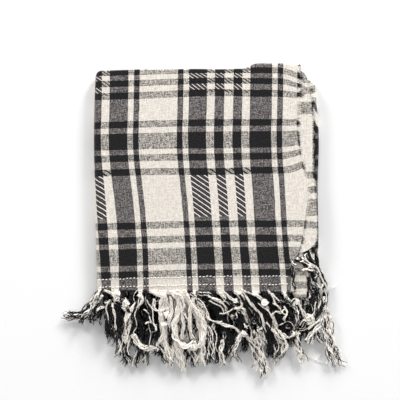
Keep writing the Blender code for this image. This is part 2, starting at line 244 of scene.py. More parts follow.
def half_turn(steps):
    """Cosine, sine and share of each step of a half turn."""
    rows = []
    for k in range(steps + 1):
        turn = math.pi * k / steps
        rows.append((math.cos(turn), math.sin(turn), k / steps))
    return rows


def along_stations():
    """Places along the whole cloth, from the upper hem to the other hem."""
    outer, inner = 1.5 * LAYER, 0.5 * LAYER
    rows = [Along("a", k / ALONG_STEPS, outer, 0.0, 1.0, 0.0, 0.0) for k in range(ALONG_STEPS)]
    rows += [Along("aX", 1.0, outer * c, outer * s, c, s, part) for c, s, part in half_turn(8)]
    rows += [Along("X", share, -outer, 0.0, -1.0, 0.0, 1.0) for share in reversed(Y_SHARES)]
    for c, s, part in half_turn(6):
        rows.append(Along("XY", 0.0, -LAYER - inner * c, -inner * s, -c, -s, part))
    rows += [Along("Y", share, -inner, 0.0, 1.0, 0.0, 1.0) for share in Y_SHARES]
    rows += [Along("YZ", 1.0, -inner * c, inner * s, c, -s, part) for c, s, part in half_turn(6)]
    rows += [Along("Z", share, inner, 0.0, -1.0, 0.0, 1.0) for share in Z_SHARES]
    return rows


LEAF_INSETS = {  # how far each leaf's upper hem, front fold and other hem lie inside, in mm
    1: {"a": 0.0, "XY": 0.2, "Z": 0.0},
    2: {"a": 1.8, "XY": 0.8, "Z": 2.6},
    3: {"a": 1.0, "XY": 2.4, "Z": 1.6},
    4: {"a": 0.6, "XY": 1.2, "Z": 2.2},
}
SELVAGE_INSETS = {"a": 6.8, "X": 5.6, "Y": 7.4, "Z": 6.2}  # the lower selvage, for each layer
WANDER = 0.5
WANDER_WAVES = ((23.0, 2.1, 1.0), (9.5, 5.3, 0.6))  # length in mm, weight of the seed, height
LEAF_SEED = 1.7
LAYER_SEEDS = {"a": 0.0, "X": 1.1, "Y": 2.3, "Z": 3.9}
HEM_FROM = -90.0
SECOND_HEM_FROM = -47.0
BACK_AT = 186.0
CORNER_FROM = 106.0
CORNER_EASE = 8.0
CORNER_PAST = 6.5


def wander(place, leaf, layer):
    """A slow uneven shift of an edge, its own for each layer."""
    seed = leaf * LEAF_SEED + LAYER_SEEDS[layer]
    waves = [high * np.sin(place / long + seed * weight) for long, weight, high in WANDER_WAVES]
    return WANDER * sum(waves)


def cloth_points(stations_across, stations_along, side):
    """Points of the cloth in stack millimetres, so far (side, in mm) outside its middle surface."""
    grid = np.zeros((len(stations_across), len(stations_along), 3))
    for leaf in LEAF_INSETS:
        rows = [i for i, u in enumerate(stations_across) if u.leaf == leaf]
        us = [stations_across[i] for i in rows]
        for layer in ("a", "aX", "X", "XY", "Y", "YZ", "Z"):
            columns = [j for j, v in enumerate(stations_along) if v.layer == layer]
            vs = [stations_along[j] for j in columns]
            grid[np.ix_(rows, columns)] = leaf_points(leaf, layer, us, vs, side)
    x, y = rounded(grid[..., 0], grid[..., 1])
    return np.stack((x, y, grid[..., 2]), axis=-1)


def leaf_points(leaf, layer, us, vs, side):
    """Points of one layer of one leaf, with the folds that it ends in."""
    share, height, radius, sense, angle = np.array([u[1:] for u in us]).T[..., None]
    length, offset, away, out_offset, out_away, blend = np.array([v[1:] for v in vs]).T[:, None]
    offset = offset + side * out_offset
    low = SECOND_HEM_FROM if (leaf == 1 and layer == "Z") else HEM_FROM
    y = low + length * (BACK_AT - low)
    left = curve(LEFT_FOLD, y) + FOLD_REACH["left"]
    right = right_edge(leaf, layer, blend, y)
    x = left + share * (right - left)
    angle = np.radians(angle)
    reach = radius + sense * offset
    px = x + reach * np.cos(angle)
    pz = height + reach * np.sin(angle)
    front = front_edge(leaf, layer, px, LEAF_INSETS[leaf])
    back = back_edge(leaf, layer, px)
    py = front + length * (back - front) + away + side * out_away
    return np.stack((px, py, pz), axis=-1)


def right_edge(leaf, layer, blend, y):
    """The right end of a leaf's flat stretch: its selvage, or the middle of the right fold."""
    if leaf in (3, 4):
        return curve(RIGHT_FOLD, y) - FOLD_REACH["right"]
    if leaf == 2:
        first, last = SELVAGE_INSETS[layer[0]], SELVAGE_INSETS[layer[-1]]
        inset = first + (last - first) * blend
        return curve(RIGHT_FOLD, y) - inset + wander(y, 2, layer[-1])
    tables = {"a": TOP_SELVAGE, "X": THIRD_SELVAGE, "Y": THIRD_SELVAGE, "Z": SECOND_SELVAGE}
    first, last = curve(tables[layer[0]], y), curve(tables[layer[-1]], y)
    return first + (last - first) * blend if len(layer) == 2 else first


TONGUE = 3.4
TONGUE_ROUND = 4.0


def warp_band(x):
    """The warp's band at an x of the upper hem, and how far in it is from the band's nearer end."""
    place = np.interp(x - curve(WARP_SHIFT, HEM_FROM), *np.array(WARP_PLACES).T)
    place = (place - WARP_START) % WARP_REPEAT
    ends = np.concatenate(([0.0], np.cumsum(WARP_BANDS)))
    band = np.clip(np.searchsorted(ends, place) - 1, 0, len(WARP_BANDS) - 1)
    return band, np.minimum(place - ends[band], ends[band + 1] - place)


def tongue(x):
    """1 in the middle of a cream stripe at the upper hem, 0 on a dark one, round between them."""
    band, inside = warp_band(x)
    near = share_of(inside / TONGUE_ROUND)
    return np.where(band % 2 == 0, np.sqrt(1.0 - (1.0 - near) ** 2), 0.0)


def front_edge(leaf, layer, x, inset):
    """Where a layer ends at the front: a hem, or the middle of the front fold."""
    if layer in ("a", "aX"):
        hem = curve(HEM, x) + inset["a"] + 0.3 * wander(x, leaf, "a")
        return hem - TONGUE * (leaf == 1) * tongue(x)
    if layer in ("Z", "YZ"):
        if leaf == 1:
            return curve(SECOND_HEM, x)
        return curve(HEM, x) + inset["Z"] + wander(x, leaf, "Z")
    past = CORNER_PAST * share_of((x - CORNER_FROM) / CORNER_EASE) * (leaf == 1)
    return curve(HEM, x) + inset["XY"] + LAYER + 0.5 * wander(x, leaf, "X") - past


def back_edge(leaf, layer, x):
    """The middle of a layer's back fold."""
    if leaf == 1 and layer in ("Y", "YZ", "Z"):
        return curve(INNER_BACK, x) - 2.0 * LAYER
    table = BACK_EDGE if leaf == 1 else LOWER_BACK
    return curve(table, x) - 2.0 * LAYER + 0.4 * wander(x, leaf, "a")


# Where the plaid's bands lie on each stretch that shows

WARP_SHIFT = (  # y, how far the warp lies to the right there, in mm
    (-100, 12.4), (-77, 11.5), (-16, 7.7), (30, 4.3), (54.5, 1.9), (67, 0.6), (98, -0.9),
    (137.6, 0), (185, 0.6),
)
WARP_PLACES = (  # x on the cloth, place in the plaid, in mm
    (-2000, -2004.1), (-117.8, -121.9), (-96.1, -96.1), (82.1, 82.1), (89.2, 89.5), (140, 140),
)
WEFT_RISE = (  # x, how far a weft band lies lower there, in mm
    (-140, 2.3), (-118, 1.75), (-80, 0.6), (-40, -0.7), (-10, -1.4), (80, -1.9), (140, -1.9),
)
WARP_SQUEEZE = (  # y, how much closer together the warp lies there, as a share
    (-100, 0), (-86, 0), (-68, 0.006), (-40, 0.018), (10, 0.019), (26, 0.014), (60, 0.004), (90, 0),
)
SQUEEZE_MIDDLE = -6.0
SQUEEZE_FROM = -127.0
SQUEEZE_EASE = 12.0
MIDDLE_PULL = (  # y, how much lower a weft band lies across the middle, in mm
    (0, 0), (30, 0.8), (57, 1.8), (77, 1.1), (98, 0.5), (122, 0), (156, -1.2), (186, -0.6),
)
SELVAGE_DRAW = (  # y, how far a weft band bends up close to the upper selvage, in mm
    (-90, 0), (0, 0.4), (30, 2.4), (54, 6.4), (78, 6), (100, 1.6), (130, 0), (158, -3), (176, -8),
    (192, -8),
)
SELVAGE_DRAW_REACH = 26.0
MIDDLE_PULL_AT = 6.0
MIDDLE_PULL_REACH = 46.0
WEFT_PULL = (  # y, how far a weft band lies lower there, in mm
    (-90, 0), (57, -0.2), (85, 0.3), (123, 1), (156, 2.9), (171, 2.6), (178, 3.4), (184, 4.6),
    (194, 5.4),
)
SECOND_WEFT = (  # y, place in the plaid of the second sheet
    (-47, 1106), (-9.9, 1089.1), (-2.5, 1081.2), (5, 1074.5), (24.8, 1055), (32.2, 1048.3),
    (39.1, 1041.3), (51.5, 1029.4), (58.3, 1022.7), (130.7, 963.1), (144.5, 955.7), (190, 905),
)
HEM_Y = -89.2
WEFT_BACK = 277.5
LOWER_WEFT_SHIFT = 8.7
RIGHT_FOLD_WARP = 52.0
RIGHT_FOLD_PLACE = -88.7 - 178.2 * 2
RIGHT_FOLD_Y = 110.0
X_BACK = 182.3
X_STRETCH = 0.94
Y_PLACE = 629.8
Y_STRETCH = 0.93
CORNER_WARP = (  # y, how far the lower leaves' warp leans over at the back corner, in mm
    (-90, 0), (134, 0), (146, 6.2), (190, 6.2),
)


def cloth_places(stations_across, stations_along, grid):
    """Places in the plaid, across and along, of each point of the cloth."""
    x, y = grid[..., 0], grid[..., 1]
    unrolled = np.zeros(x.shape)
    for i, u in enumerate(stations_across):
        left = curve(LEFT_FOLD, y[i]) + FOLD_REACH["left"]
        right = curve(RIGHT_FOLD, y[i]) - FOLD_REACH["right"]
        left_turn = math.pi * LEFT_RADIUS
        if u.leaf == 1:
            turned = math.radians(u.angle - 90.0) * LEFT_RADIUS
            unrolled[i] = np.where(u.angle > 90.0, left - turned, x[i])
        elif u.leaf == 4:
            turned = math.radians(u.angle + 90.0) * SMALL_RADIUS if u.share == 1.0 else 0.0
            flat = (right - left) if u.share == 1.0 else (x[i] - left)
            unrolled[i] = left - left_turn - flat - turned
        elif u.leaf == 3:
            turned = math.radians(270.0 - u.angle) * SMALL_RADIUS if u.share == 0.0 else 0.0
            flat = (right - left) if u.share == 0.0 else (right - x[i])
            lower_edge = left - left_turn - (right - left) - math.pi * SMALL_RADIUS
            unrolled[i] = lower_edge - flat - turned
        else:
            twice = 2.0 * (right - left) + 2.0 * math.pi * SMALL_RADIUS
            unrolled[i] = left - left_turn - twice - (x[i] - left)
    shifted = unrolled - curve(WARP_SHIFT, y)
    right = curve(RIGHT_FOLD, RIGHT_FOLD_Y) - FOLD_REACH["right"]
    left = curve(LEFT_FOLD, RIGHT_FOLD_Y) + FOLD_REACH["left"]
    at_fold = left - math.pi * LEFT_RADIUS - (right - left)
    at_fold -= math.radians(90.0 + RIGHT_FOLD_WARP) * SMALL_RADIUS
    lower = np.array([u.leaf != 1 for u in stations_across])[:, None]
    squeezed = (1 - lower) * share_of((shifted - SQUEEZE_FROM) / SQUEEZE_EASE)
    shifted = shifted + squeezed * (shifted - SQUEEZE_MIDDLE) * curve(WARP_SQUEEZE, y)
    places = np.array(WARP_PLACES).T
    moved = RIGHT_FOLD_PLACE - np.interp(at_fold, *places) + curve(CORNER_WARP, y)
    across = np.interp(shifted, *places) + lower * moved

    along = np.zeros(x.shape)
    base = y - HEM_Y + curve(WEFT_RISE, x) + curve(WEFT_PULL, y)
    base = base + curve(MIDDLE_PULL, y) * np.exp(-(((x - MIDDLE_PULL_AT) / MIDDLE_PULL_REACH) ** 2))
    near = share_of(1.0 - (curve(TOP_SELVAGE, y) - x) / SELVAGE_DRAW_REACH) ** 2
    for j, v in enumerate(stations_along):
        for leaves in ((1,), (2, 3, 4)):
            rows = [i for i, u in enumerate(stations_across) if u.leaf in leaves]
            lifted = base[rows, j]
            if leaves == (1,):
                lifted = lifted - near[rows, j] * curve(SELVAGE_DRAW, y[rows, j])
            else:
                lifted = lifted + LOWER_WEFT_SHIFT
            if v.layer == "a":
                along[rows, j] = lifted
            elif v.layer == "aX":
                along[rows, j] = lifted if v.blend < 0.5 else 2.0 * WEFT_BACK - lifted
            elif v.layer in ("X", "XY"):
                along[rows, j] = WEFT_BACK + (X_BACK - y[rows, j]) * X_STRETCH
            elif v.layer == "Y":
                along[rows, j] = Y_PLACE + Y_STRETCH * y[rows, j]
            else:
                along[rows, j] = curve(SECOND_WEFT, y[rows, j])
    return np.stack((across, along), axis=-1)


# Meshes


def mesh_piece(name, points, faces, finish, places=None, tones=None, corners=3):
    """An object from arrays of points in metres and of faces, with plaid places or yarn tones."""
    mesh = bpy.data.meshes.new(name)
    mesh.vertices.add(len(points))
    mesh.vertices.foreach_set("co", np.asarray(points, np.float32).ravel())
    count = len(faces)
    size = faces.shape[1]
    mesh.loops.add(count * size)
    mesh.loops.foreach_set("vertex_index", faces.astype(np.int32).ravel())
    mesh.polygons.add(count)
    mesh.polygons.foreach_set("loop_start", np.arange(0, count * size, size, dtype=np.int32))
    mesh.update(calc_edges=True)
    if places is not None:
        layer = mesh.uv_layers.new(name="cloth")
        layer.data.foreach_set("uv", places[faces.ravel()].astype(np.float32).ravel())
    if tones is not None:
        attribute = mesh.attributes.new("tone", "FLOAT", "POINT")
        attribute.data.foreach_set("value", tones.astype(np.float32).ravel())
    mesh.shade_smooth()
    mesh.set_sharp_from_angle(angle=math.radians(SHARP_ANGLE))
    mesh.validate()
    mesh.materials.append(finish)
    return link(name, mesh)


def block_faces(shape, first, last, start, end):
    """Quads of a closed wall over a block of the cloth's grid: outer side, inner side and rims."""
    rows, columns = shape
    size = rows * columns
    i, j = np.meshgrid(np.arange(first, last), np.arange(start, end), indexing="ij")
    a = (i * columns + j).ravel()
    outer = np.stack((a, a + columns, a + columns + 1, a + 1), axis=1)
    faces = [outer, outer[:, ::-1] + size]
    for fixed in (first, last):
        b = fixed * columns + np.arange(start, end)
        rim = np.stack((b, b + 1, b + 1 + size, b + size), axis=1)
        faces.append(rim if fixed == first else rim[:, ::-1])
    for fixed in (start, end):
        b = np.arange(first, last) * columns + fixed
        rim = np.stack((b, b + size, b + columns + size, b + columns), axis=1)
        faces.append(rim if fixed == start else rim[:, ::-1])
    return np.concatenate(faces)


def compact(points, places, faces):
    """Only the points that the faces use."""
    used, inverse = np.unique(faces, return_inverse=True)
    return points[used], places[used], inverse.reshape(faces.shape)


# Shares of a leaf or a layer where one piece of cloth ends and the next begins
UNDER_FROM = 0.1
RIGHT_FROM = 0.9
RIGHT_TO = 0.92
WRAP_TO = 0.96


def build_cloth(finish):
    """The pieces of cloth, each a stretch of the one long sheet."""
    across, along = across_stations(), along_stations()
    middle = cloth_points(across, along, 0.0)
    places = cloth_places(across, along, middle).reshape(-1, 2)
    outer = settled(cloth_points(across, along, HALF_CLOTH)).reshape(-1, 3)
    inner = settled(cloth_points(across, along, -HALF_CLOTH)).reshape(-1, 3)
    points = np.concatenate((outer, inner))
    both = np.concatenate((places, places))
    shape = (len(across), len(along))
    u_end, v_end = shape[0] - 1, shape[1] - 1

    def row(test):
        return [k for k, u in enumerate(across) if test(u)][0]

    def column(test):
        return [k for k, v in enumerate(along) if test(v)][0]

    under = row(lambda u: u.leaf == 4 and u.share >= UNDER_FROM)
    right_under = row(lambda u: u.leaf == 4 and u.share >= RIGHT_FROM)
    right_over = row(lambda u: u.leaf == 3 and u.share <= RIGHT_TO)
    left_top = row(lambda u: u.leaf == 1 and u.share == 0.0)
    wrap = column(lambda v: v.layer == "X" and v.share <= WRAP_TO)
    turned = column(lambda v: v.layer == "YZ" and v.blend >= 0.5)
    blocks = {
        "top_sheet": [(0, under, 0, wrap)],
        "second_sheet": [(0, left_top, turned, v_end)],
        "third_sheet": [(0, left_top, wrap, turned)],
        "right_fold_sheet": [(right_under, right_over, 0, wrap)],
        "inner_layers": [
            (under, right_under, 0, wrap),
            (right_over, u_end, 0, wrap),
            (left_top, u_end, wrap, v_end),
        ],
    }
    pieces = {}
    for name, parts in blocks.items():
        faces = np.concatenate([block_faces(shape, *part) for part in parts])
        own_points, own_places, own_faces = compact(points, both, faces)
        pieces[name] = mesh_piece(name, own_points, own_faces, finish, places=own_places)
    return pieces


# Node materials


class Value:
    """A number in a material, which takes + - * / with plain numbers and other values."""

    def __init__(self, nodes, socket):
        self.nodes = nodes
        self.socket = socket

    def __add__(self, other):
        return self.nodes.math("ADD", self, other)

    def __radd__(self, other):
        return self.nodes.math("ADD", other, self)

    def __sub__(self, other):
        return self.nodes.math("SUBTRACT", self, other)

    def __rsub__(self, other):
        return self.nodes.math("SUBTRACT", other, self)

    def __mul__(self, other):
        return self.nodes.math("MULTIPLY", self, other)

    def __truediv__(self, other):
        return self.nodes.math("DIVIDE", self, other)


class Nodes:
    """A short way to write a material's nodes."""

    def __init__(self, name):
        self.material = bpy.data.materials.new(name)
        self.material.use_nodes = True
        self.tree = self.material.node_tree
        self.surface = self.tree.nodes["Principled BSDF"]

    def put(self, kind, **settings):
        """A new node with these settings."""
        node = self.tree.nodes.new(kind)
        for key, value in settings.items():
            setattr(node, key, value)
        return node

    def join(self, value, socket):
        """Feeds a socket with a value, another node's output or a plain number or colour."""
        if isinstance(value, Value):
            value = value.socket
        if isinstance(value, bpy.types.NodeSocket):
            self.tree.links.new(value, socket)
        else:
            socket.default_value = value

    def math(self, operation, *values):
        """The value of one operation."""
        node = self.put("ShaderNodeMath", operation=operation)
        for value, socket in zip(values, node.inputs):
            self.join(value, socket)
        return Value(self, node.outputs[0])

    def noise(self, x, y, size_x, size_y, detail=1.0):
        """Noise between 0 and 1 over the cloth, with grains of these sizes in mm."""
        place = self.put("ShaderNodeCombineXYZ")
        self.join(x / size_x, place.inputs[0])
        self.join(y / size_y, place.inputs[1])
        node = self.put("ShaderNodeTexNoise", noise_dimensions="2D")
        self.join(place.outputs[0], node.inputs["Vector"])
        self.join(1.0, node.inputs["Scale"])
        self.join(detail, node.inputs["Detail"])
        return Value(self, node.outputs[0])

    def ramp(self, value, stops, interpolation="LINEAR"):
        """The colour at a value, between stops that are each a position and a colour."""
        node = self.put("ShaderNodeValToRGB")
        self.join(value, node.inputs[0])
        node.color_ramp.interpolation = interpolation
        elements = node.color_ramp.elements
        for k, (position, colour) in enumerate(stops):
            stop = elements[k] if k < 2 else elements.new(position)
            stop.position = position
            stop.color = colour
        return node.outputs[0]

    def bands(self, place, widths):
        """0 and 1 by turns on a table of bands, whose widths are in mm."""
        total = sum(widths)
        stops = []
        reached = 0.0
        for k, width in enumerate(widths):
            stops.append((reached / total, (k % 2, k % 2, k % 2, 1.0)))
            reached += width
        return Value(self, self.ramp(place / total, stops, "CONSTANT"))

    def mix(self, share, first, second):
        """The colour so far from the first towards the second."""
        node = self.put("ShaderNodeMix", data_type="RGBA")
        for value, socket in ((share, 0), (first, 6), (second, 7)):
            self.join(value, node.inputs[socket])
        return node.outputs[2]

    def between(self, value, low, high):
        """1 where the value lies between two limits."""
        return self.math("GREATER_THAN", value, low) * self.math("LESS_THAN", value, high)

    def finish(self, colour, shade, height, bump, looks):
        """The material, with a colour times a shade, a raised pattern and the surface's looks."""
        scaled = self.put("ShaderNodeVectorMath", operation="SCALE")
        self.join(colour, scaled.inputs[0])
        self.join(shade, scaled.inputs["Scale"])
        self.join(scaled.outputs[0], self.surface.inputs["Base Color"])
        raised = self.put("ShaderNodeBump")
        self.join(height, raised.inputs["Height"])
        for name, value in bump.items():
            self.join(value, raised.inputs[name])
        self.join(raised.outputs[0], self.surface.inputs["Normal"])
        for name, value in looks.items():
            self.join(value, self.surface.inputs[name])
        return self.material


WARP_START = -95.35
WARP_BANDS = (6.4, 7.1, 47.4, 6.7, 7.0, 22.8, 9.2, 12.0, 11.3, 11.1, 10.0, 27.2)
WARP_REPEAT = sum(WARP_BANDS)
WEFT_PIVOT = 114.5
WEFT_BANDS = (28.7, 8.7, 9.3, 8.5, 6.4, 20.6, 6.7, 8.7, 29.3, 8.3, 7.0, 4.2)
FANCY_WARP = (74.6, 151.0)
FANCY_WEFTS = ((90.4, 151.8), (246.6, 306.8))
THREAD = 0.62
TWILL_SLOPE = 0.75
DARK_WARP_COVER = 0.87
DARK_WEFT_COVER = 0.57
TWILL_PITCH = 6.7
UPPER_PITCH = 4.6
BOLD_LINE = 0.25
FAINT_LINE = (0.58, 0.7)
FAINT_COVER = 0.14
PALE_FROM = 0.34
UPPER_FROM = 200.0
DRIFT_GRAIN = (3.0, 14.0)
DRIFT = 0.7
MOTTLE_GRAIN = (1.9, 1.6, 2.0)
SLUB_GRAIN = (1.2, 1.1)
STREAK_GRAIN = (1.7, 8.0)
TINT_GRAIN = (26.0, 40.0, 2.0)
YARN_GRAIN = (1.8, 44.0, 2.0)
CREAM = (0.86, 0.79, 0.705, 1.0)
COOL_CREAM = (0.81, 0.76, 0.695, 1.0)
DULL_CREAM = (0.70, 0.66, 0.60, 1.0)
BLACK = (0.0085, 0.0085, 0.0095, 1.0)
WARM_BLACK = (0.015, 0.013, 0.0145, 1.0)
# Painted sheen: the black warp's lighter, bluer colour where cream weft crosses it
PAINTED_SHEEN_BLACK = (0.022, 0.017, 0.027, 1.0)
# How much each pattern sways which thread lies on top, and how much it shades the colour; the weave's
# share is painted shade in the gaps between the threads
OVER = {"weave": 0.3, "streaks": 0.55, "mottle": 0.95, "slubs": 0.8}
SHADE = {"weave": 0.06, "mottle": 0.4, "streaks": 0.35, "slubs": 0.5, "black": 5.0}
EVEN_SHADE = 0.95
SLUB_RISE = 1.2
DULL_STREAKS = 0.55
PLAID_BUMP = {"Strength": 0.35, "Distance": 0.00016}
PLAID_LOOKS = {
    "Roughness": 0.92,
    "Specular IOR Level": 0.18,
    "Sheen Weight": 0.12,
    "Sheen Roughness": 0.5,
}


def plaid_material():
    """Plain weave in cream and black, with blocks of a fancy twill."""
    n = Nodes("plaid_cotton")
    parts = n.put("ShaderNodeSeparateXYZ")
    n.join(n.put("ShaderNodeUVMap", uv_map="cloth").outputs[0], parts.inputs[0])
    w, v = Value(n, parts.outputs[0]), Value(n, parts.outputs[1])

    # Threads wander a little
    w_drift = (n.noise(w, v, *DRIFT_GRAIN) - 0.5) * DRIFT
    v_drift = (n.noise(v, w, *DRIFT_GRAIN) - 0.5) * DRIFT
    w, v = w + w_drift, v + v_drift
    sett_w = n.math("FLOORED_MODULO", w - WARP_START, WARP_REPEAT)
    sett_v = n.math("PINGPONG", v - WEFT_PIVOT, sum(WEFT_BANDS))
    warp_dark = n.bands(sett_w, WARP_BANDS)
    weft_dark = n.bands(sett_v, WEFT_BANDS)

    # Which thread lies on top, in a plain weave whose black yarn is the fuller one
    a = n.math("SINE", w * (math.pi / THREAD))
    b = n.math("SINE", v * (math.pi / THREAD))
    only_warp = warp_dark * (1.0 - weft_dark)
    only_weft = weft_dark * (1.0 - warp_dark)
    cover = 0.5 + only_warp * (DARK_WARP_COVER - 0.5) + only_weft * (0.5 - DARK_WEFT_COVER)
    mottle = n.noise(w, v, *MOTTLE_GRAIN) - 0.5
    slubs = n.noise(w, v, *SLUB_GRAIN) - 0.5
    up_streaks = n.noise(w, v, *STREAK_GRAIN) - 0.5
    side_streaks = n.noise(w, v, *reversed(STREAK_GRAIN)) - 0.5
    streaks = up_streaks + side_streaks
    share = cover + a * b * OVER["weave"] + streaks * OVER["streaks"]
    share = share + mottle * OVER["mottle"] + slubs * OVER["slubs"]
    warp_over = n.math("MINIMUM", n.math("MAXIMUM", share, 0.0), 1.0)

    # Fancy blocks: the weft floats in slanting lines, one bold and one faint in each repeat
    lower, upper = (n.between(v, *limits) for limits in FANCY_WEFTS)
    fancy = n.between(sett_w, *FANCY_WARP) * (lower + upper)
    finer = n.math("GREATER_THAN", v, UPPER_FROM)
    pitch = TWILL_PITCH + finer * (UPPER_PITCH - TWILL_PITCH)
    phase = n.math("FRACT", (v + w * TWILL_SLOPE) / pitch)
    bold = n.math("LESS_THAN", phase, BOLD_LINE)
    lines = n.math("MAXIMUM", bold, n.between(phase, *FAINT_LINE) * FAINT_COVER)
    pale_over = warp_over * n.math("GREATER_THAN", phase, PALE_FROM)
    share = warp_over * (1.0 - fancy)
    share = share + fancy * warp_dark * (1.0 - lines)
    share = share + fancy * (1.0 - warp_dark) * pale_over

    # Yarn colours, a little uneven; the black warp is lighter and bluer where cream weft crosses it,
    # as painted sheen
    tint = n.noise(w, v, *TINT_GRAIN)
    streak = n.noise(w, v, *YARN_GRAIN)
    cream = n.mix(streak * DULL_STREAKS, n.mix(tint, CREAM, COOL_CREAM), DULL_CREAM)
    black = n.mix(tint, BLACK, WARM_BLACK)
    warp_colour = n.mix(warp_dark, cream, n.mix(only_warp, black, PAINTED_SHEEN_BLACK))
    weft_colour = n.mix(weft_dark, cream, black)
    colour = n.mix(share, weft_colour, warp_colour)

    # Painted shade: the gaps between the threads are darker, and the weave is raised
    a_side = n.math("POWER", n.math("ABSOLUTE", a), 0.5)
    b_side = n.math("POWER", n.math("ABSOLUTE", b), 0.5)
    height = a_side * share + b_side * (1.0 - share)
    # The weave's term is painted shade in the thread gaps; mottle, streaks and slubs are the yarn's
    # own uneven tone
    shade = EVEN_SHADE + height * SHADE["weave"] + mottle * SHADE["mottle"]
    shade = shade + streaks * SHADE["streaks"] + slubs * SHADE["slubs"]
    shade = shade + warp_dark * weft_dark * slubs * SHADE["black"]
    return n.finish(colour, shade, height + slubs * SLUB_RISE, PLAID_BUMP, PLAID_LOOKS)


FLECK_SCALE = 900.0
YARN_COLOURS = (  # tone, colour
    (0.12, (0.006, 0.006, 0.007, 1.0)),
    (0.3, (0.04, 0.036, 0.034, 1.0)),
    (0.55, (0.62, 0.55, 0.45, 1.0)),
    # The cream stop is brighter than white: painted light that lifts the cream yarns out of the shade
    # they cast on each other
    (0.85, (1.08, 1.035, 0.97, 1.0)),
)
YARN_SHADE = (0.78, 0.42)
YARN_BUMP = {"Strength": 0.5, "Distance": 0.0002}
YARN_LOOKS = {"Roughness": 0.95, "Specular IOR Level": 0.15, "Sheen Weight": 0.15}


def yarn_material():
    """Cotton yarn, black to cream by its tone, with fine flecks."""
    n = Nodes("cotton_yarn")
    noise = n.put("ShaderNodeTexNoise")
    n.join(n.put("ShaderNodeTexCoord").outputs["Object"], noise.inputs["Vector"])
    n.join(FLECK_SCALE, noise.inputs["Scale"])
    n.join(2.0, noise.inputs["Detail"])
    fleck = Value(n, noise.outputs[0])
    tone = n.put("ShaderNodeAttribute", attribute_name="tone").outputs["Fac"]
    shade = YARN_SHADE[0] + fleck * YARN_SHADE[1]
    return n.finish(n.ramp(tone, YARN_COLOURS), shade, fleck, YARN_BUMP, YARN_LOOKS)


# Yarn


def smooth_path(points, step):
    """A smooth curve through given points, sampled about every so many millimetres."""
    points = np.asarray(points, float)
    runs = np.linalg.norm(np.diff(points, axis=0), axis=1)
    reached = np.concatenate(([0.0], np.cumsum(np.maximum(runs, 0.01))))
    if len(points) == 2:
        slopes = np.repeat(np.diff(points, axis=0) / runs, 2, axis=0)
    else:
        slopes = np.gradient(points, reached, axis=0)
    count = max(int(reached[-1] / step) + 1, 4)
    at = np.linspace(0.0, reached[-1], count)
    k = np.clip(np.searchsorted(reached, at) - 1, 0, len(points) - 2)
    span = (reached[k + 1] - reached[k])[:, None]
    t = (at - reached[k])[:, None] / span
    return hermite(t, span, points[k], points[k + 1], slopes[k], slopes[k + 1])


LOWEST_POINT = 0.12
RING_TURN = 0.35


class Yarns:
    """Collects many yarns and makes one mesh of them."""

    def __init__(self):
        self.points, self.faces, self.tones = [], [], []
        self.count = 0

    def add(self, lines, radii, tones, sides=3):
        """Tubes along lines (yarn, point, xyz) in stack mm, with radii for each point and a tone."""
        lines = np.asarray(lines, float)
        yarns, steps = lines.shape[:2]
        way = unit(np.gradient(lines, axis=1))
        side = unit(np.cross(way[:, 0], (0.13, 0.07, 1.0)))
        rings = np.zeros((yarns, steps, sides, 3))
        for s in range(steps):
            side = unit(side - way[:, s] * np.sum(side * way[:, s], axis=1, keepdims=True))
            other = np.cross(way[:, s], side)
            for c in range(sides):
                angle = 2.0 * math.pi * (c + RING_TURN * (s % 2)) / sides
                out = side * math.cos(angle) + other * math.sin(angle)
                rings[:, s, c] = lines[:, s] + out * radii[:, s, None]
        rings[..., 2] = np.maximum(rings[..., 2], LOWEST_POINT)
        start = self.count + np.arange(yarns)[:, None, None] * steps * sides
        s = np.arange(steps - 1)[None, :, None] * sides
        c = np.arange(sides)[None, None, :]
        low, high = start + s + c, start + s + (c + 1) % sides
        quads = np.stack((low, high, high + sides, low + sides), axis=-1).reshape(-1, 4)
        faces = [quads[:, [0, 1, 2]], quads[:, [0, 2, 3]]]
        tips = np.arange(sides - 2)
        for ring, order in ((0, [0, 2, 1]), (steps - 1, [0, 1, 2])):
            base = start[:, 0] + ring * sides
            fan = np.stack((base + 0 * tips, base + tips + 1, base + tips + 2), axis=-1)
            faces.append(fan.reshape(-1, 3)[:, order])
        self.faces.append(np.concatenate(faces))
        self.points.append(settled(rings).reshape(-1, 3))
        self.tones.append(np.repeat(np.asarray(tones, float), steps * sides))
        self.count += yarns * steps * sides

    def piece(self, name, finish):
        """The object of all these yarns."""
        points, faces, tones = map(np.concatenate, (self.points, self.faces, self.tones))
        return mesh_piece(name, points, faces, finish, tones=tones)


YARN = 0.5
STEP = 2.2
TWIST = 0.9
FULL_TURN = 6.28
LOWEST_YARN = 0.7
COIL = (2.4, 0.05)  # how far each cord turns past the last one, and how far it turns in each mm
WAVES = (13.0, 16.0)  # the shortest wave of a cord that wanders, and how much longer it may be
WAVES_BEGIN = 6.0
WAVE_UP = 0.4
WAVE_AHEAD = 0.7
GATHERED = 0.2
GATHER_EASE = 1.2
FRAY_EASE = 1.3
FRAY_WAVE = (0.35, 9.0)
THICKNESS = (0.85, 0.3)
TAPER = 0.3
SHORTER = (0.12, 0.2)
KNOT_TURN = 6.6
KNOT_REACH = (0.25, 0.6)
KNOT_FLAT = 0.6
KNOT_SPREAD = 0.25
CREAM_TONE = (0.78, 0.22)
DARK_TONE = (0.02, 0.14)


def warp_tone(x):
    """0 where the yarn at this x of the upper hem is black, 1 where it is cream."""
    return 1.0 - warp_band(x)[0] % 2


def yarn_tones(dark, chance):
    """Tones of yarns: near black or near cream, a little uneven."""
    light = CREAM_TONE[0] + CREAM_TONE[1] * chance.random(len(dark))
    deep = DARK_TONE[0] + DARK_TONE[1] * chance.random(len(dark))
    return np.where(dark, deep, light)


